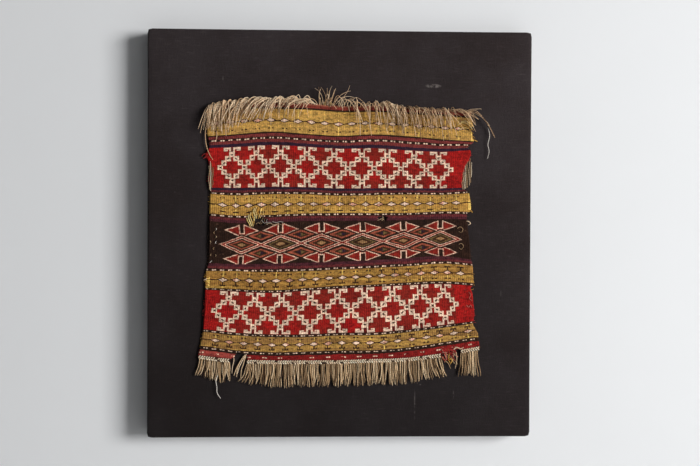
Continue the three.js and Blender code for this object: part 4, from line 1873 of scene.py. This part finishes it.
    def lay(self, bundle: YarnBundle, thread: Thread, chance: np.random.Generator) -> None:
        """Lays one thread on the panel.

        Args:
            bundle: The yarns so far.
            thread: The thread.
            chance: Source of small unevenness.
        """
        known = np.array(thread.points, float)
        mark = np.linspace(0.0, 1.0, len(known))
        s = np.linspace(0.0, 1.0, 4 * len(known))
        x, z = smooth_curve(mark, known[:, 0], s), smooth_curve(mark, known[:, 1], s)
        y = face_depth(x, z, thread.radius) - thread.off - 0.3 * np.sin(s * math.pi)
        radius = thread.radius * (1 - 0.3 * s**3)
        bundle.add(np.column_stack((x, y, z)), radius, float(chance.uniform(0.2, 0.9)), thread.tone)


@dataclass
class Studio:
    """Wall, floor, lamps and camera."""

    camera_place: Row = (-0.0356, -1.4474, -0.2652)
    yaw: float = 2.01
    pitch: float = -0.648
    roll: float = 0.234
    lens: float = 50.0
    floor_height: float = -1.5

    def build(self) -> None:
        """Sets up everything round the object."""
        scene = bpy.context.scene
        scene.view_settings.view_transform = "Standard"
        self.wall()
        self.floor()
        self.lamps()
        self.camera()
        self.ambient()

    def wall(self) -> None:
        """A pale wall behind the panel that only shows from the front."""
        bpy.ops.object.select_all(action="DESELECT")
        bpy.ops.mesh.primitive_plane_add(size=7.0)
        wall = bpy.context.active_object
        wall.name = "wall"
        wall.rotation_euler = (math.radians(90), 0.0, 0.0)
        wall.location = (0.0, 0.0015, 1.9)
        bpy.ops.object.transform_apply(location=True, rotation=True, scale=True)
        shader = Shader("wall_paint")
        mottle = shader.noise(3.0, 3.0)
        colour = shader.mix((0.86, 0.87, 0.88, 1.0), (0.82, 0.83, 0.84, 1.0), mottle)
        paint = shader.node("ShaderNodeBsdfDiffuse", None, {"Color": colour})
        clear = shader.node("ShaderNodeBsdfTransparent")
        behind = shader.node("ShaderNodeNewGeometry").outputs["Backfacing"]
        seen = shader.node("ShaderNodeMixShader", None, {0: behind, 1: paint.outputs[0], 2: clear.outputs[0]})
        shader.node("ShaderNodeOutputMaterial", None, {"Surface": seen.outputs[0]})
        wall.data.materials.append(shader.material)
        wall.visible_shadow = False

    def floor(self) -> None:
        """A plain pale floor well below the panel."""
        bpy.ops.object.select_all(action="DESELECT")
        bpy.ops.mesh.primitive_plane_add(size=9.0, location=(0.0, 0.0, self.floor_height))
        floor = bpy.context.active_object
        floor.name = "floor"
        bpy.ops.object.transform_apply(location=True, rotation=True, scale=True)
        shader = Shader("floor_paint")
        colour = shader.mix((0.52, 0.52, 0.52, 1.0), (0.48, 0.48, 0.48, 1.0), shader.noise(2.0, 3.0))
        floor.data.materials.append(shader.cover(colour, 0.8, shader.noise(40.0), 0.0002))

    def lamp(self, name: str, place: Row, target: Row, size: float, power: float) -> None:
        """Adds one square lamp.

        Args:
            name: Its name.
            place: Where it stands.
            target: What it points at.
            size: Its side in metres.
            power: Its power in watts.
        """
        bpy.ops.object.select_all(action="DESELECT")
        bpy.ops.object.light_add(type="AREA", location=place)
        lamp = bpy.context.active_object
        lamp.name = name
        lamp.data.size = size
        lamp.data.energy = power
        lamp.rotation_euler = (Vector(target) - Vector(place)).to_track_quat("-Z", "Y").to_euler()

    def lamps(self) -> None:
        """The key from the right, a soft fill from above and one for the back."""
        middle = (0.0, 0.0, PANEL_MIDDLE * MM)
        self.lamp("key", (4.5, -3.07, 0.42), middle, 2.1, 356.0)
        self.lamp("fill", (1.3, -2.3, 1.5), middle, 1.6, 3.0)
        self.lamp("back", (0.8, 1.9, 0.9), middle, 1.2, 38.0)

    def camera(self) -> None:
        """The camera at the photo's place and angle."""
        yaw, pitch, roll = (math.radians(angle) for angle in (self.yaw, self.pitch, self.roll))
        ahead = Vector((math.sin(yaw) * math.cos(pitch), math.cos(yaw) * math.cos(pitch), math.sin(pitch)))
        right = Vector((math.cos(yaw), -math.sin(yaw), 0.0))
        above = right.cross(ahead)
        turned_right = right * math.cos(roll) + above * math.sin(roll)
        turned_above = above * math.cos(roll) - right * math.sin(roll)
        data = bpy.data.cameras.new("camera")
        data.lens = self.lens
        data.sensor_width = 36.0
        camera = bpy.data.objects.new("camera", data)
        axes = Matrix((turned_right, turned_above, -ahead)).transposed().to_4x4()
        camera.matrix_world = Matrix.Translation(Vector(self.camera_place)) @ axes
        bpy.context.scene.collection.objects.link(camera)
        bpy.context.scene.camera = camera

    def ambient(self) -> None:
        """A weak even light from all round."""
        world = bpy.data.worlds.new("room")
        bpy.context.scene.world = world
        world.use_nodes = True
        light = world.node_tree.nodes["Background"]
        light.inputs["Color"].default_value = (0.95, 0.97, 1.0, 1.0)
        light.inputs["Strength"].default_value = 0.03


LOWER_FRINGES = (
    LowerFringe(
        "lower_fringe_left",
        -205,
        -159,
        ((-205, -7, -205), (-190, -3, -209), (-175, -1, -217), (-159, 0, -213)),
        31,
    ),
    LowerFringe(
        "lower_fringe_middle",
        -135,
        148,
        (
            (-135, -15, -214),
            (-127, -7, -219),
            (-118, -2, -219),
            (-95, -1, -222),
            (25, 0, -220),
            (75, 0, -219),
            (112, 1, -216),
            (125, 4, -211),
            (148, 12, -208),
        ),
        32,
    ),
    LowerFringe(
        "lower_fringe_right",
        177,
        203,
        ((177, -3, -207), (190, 0, -205), (203, 3, -210)),
        33,
    ),
)


def settle(piece: bpy.types.Object, slot: str, *nodes: str) -> bpy.types.Object:
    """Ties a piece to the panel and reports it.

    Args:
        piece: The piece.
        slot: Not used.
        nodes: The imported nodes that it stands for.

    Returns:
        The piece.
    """
    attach(piece, "root")
    if nodes:
        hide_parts(*nodes)
    LOG.info("%s: %d faces", piece.name, len(piece.data.polygons))
    return piece


def main() -> None:
    """Builds and dresses every piece in order."""
    logging.basicConfig(level=logging.INFO, format="%(message)s")
    linen = settle(LinenCover().build(), "linen", "linen_cover")
    bars = Strainer().dress()
    LOG.info("strainer: %d bars", len(bars))
    woven = settle(WovenSheet().build(), "weaving", "woven_fragment")
    upper = settle(UpperFringe().build(), "warp_yarn", "fringe_upper")
    lowers = [
        settle(fringe.build(), "warp_yarn", fringe.name.replace("lower_fringe", "fringe_lower"))
        for fringe in LOWER_FRINGES
    ]
    threads = settle(LooseThreads().build(), "warp_yarn")
    Studio().build()


if __name__ == "__main__":
    main()
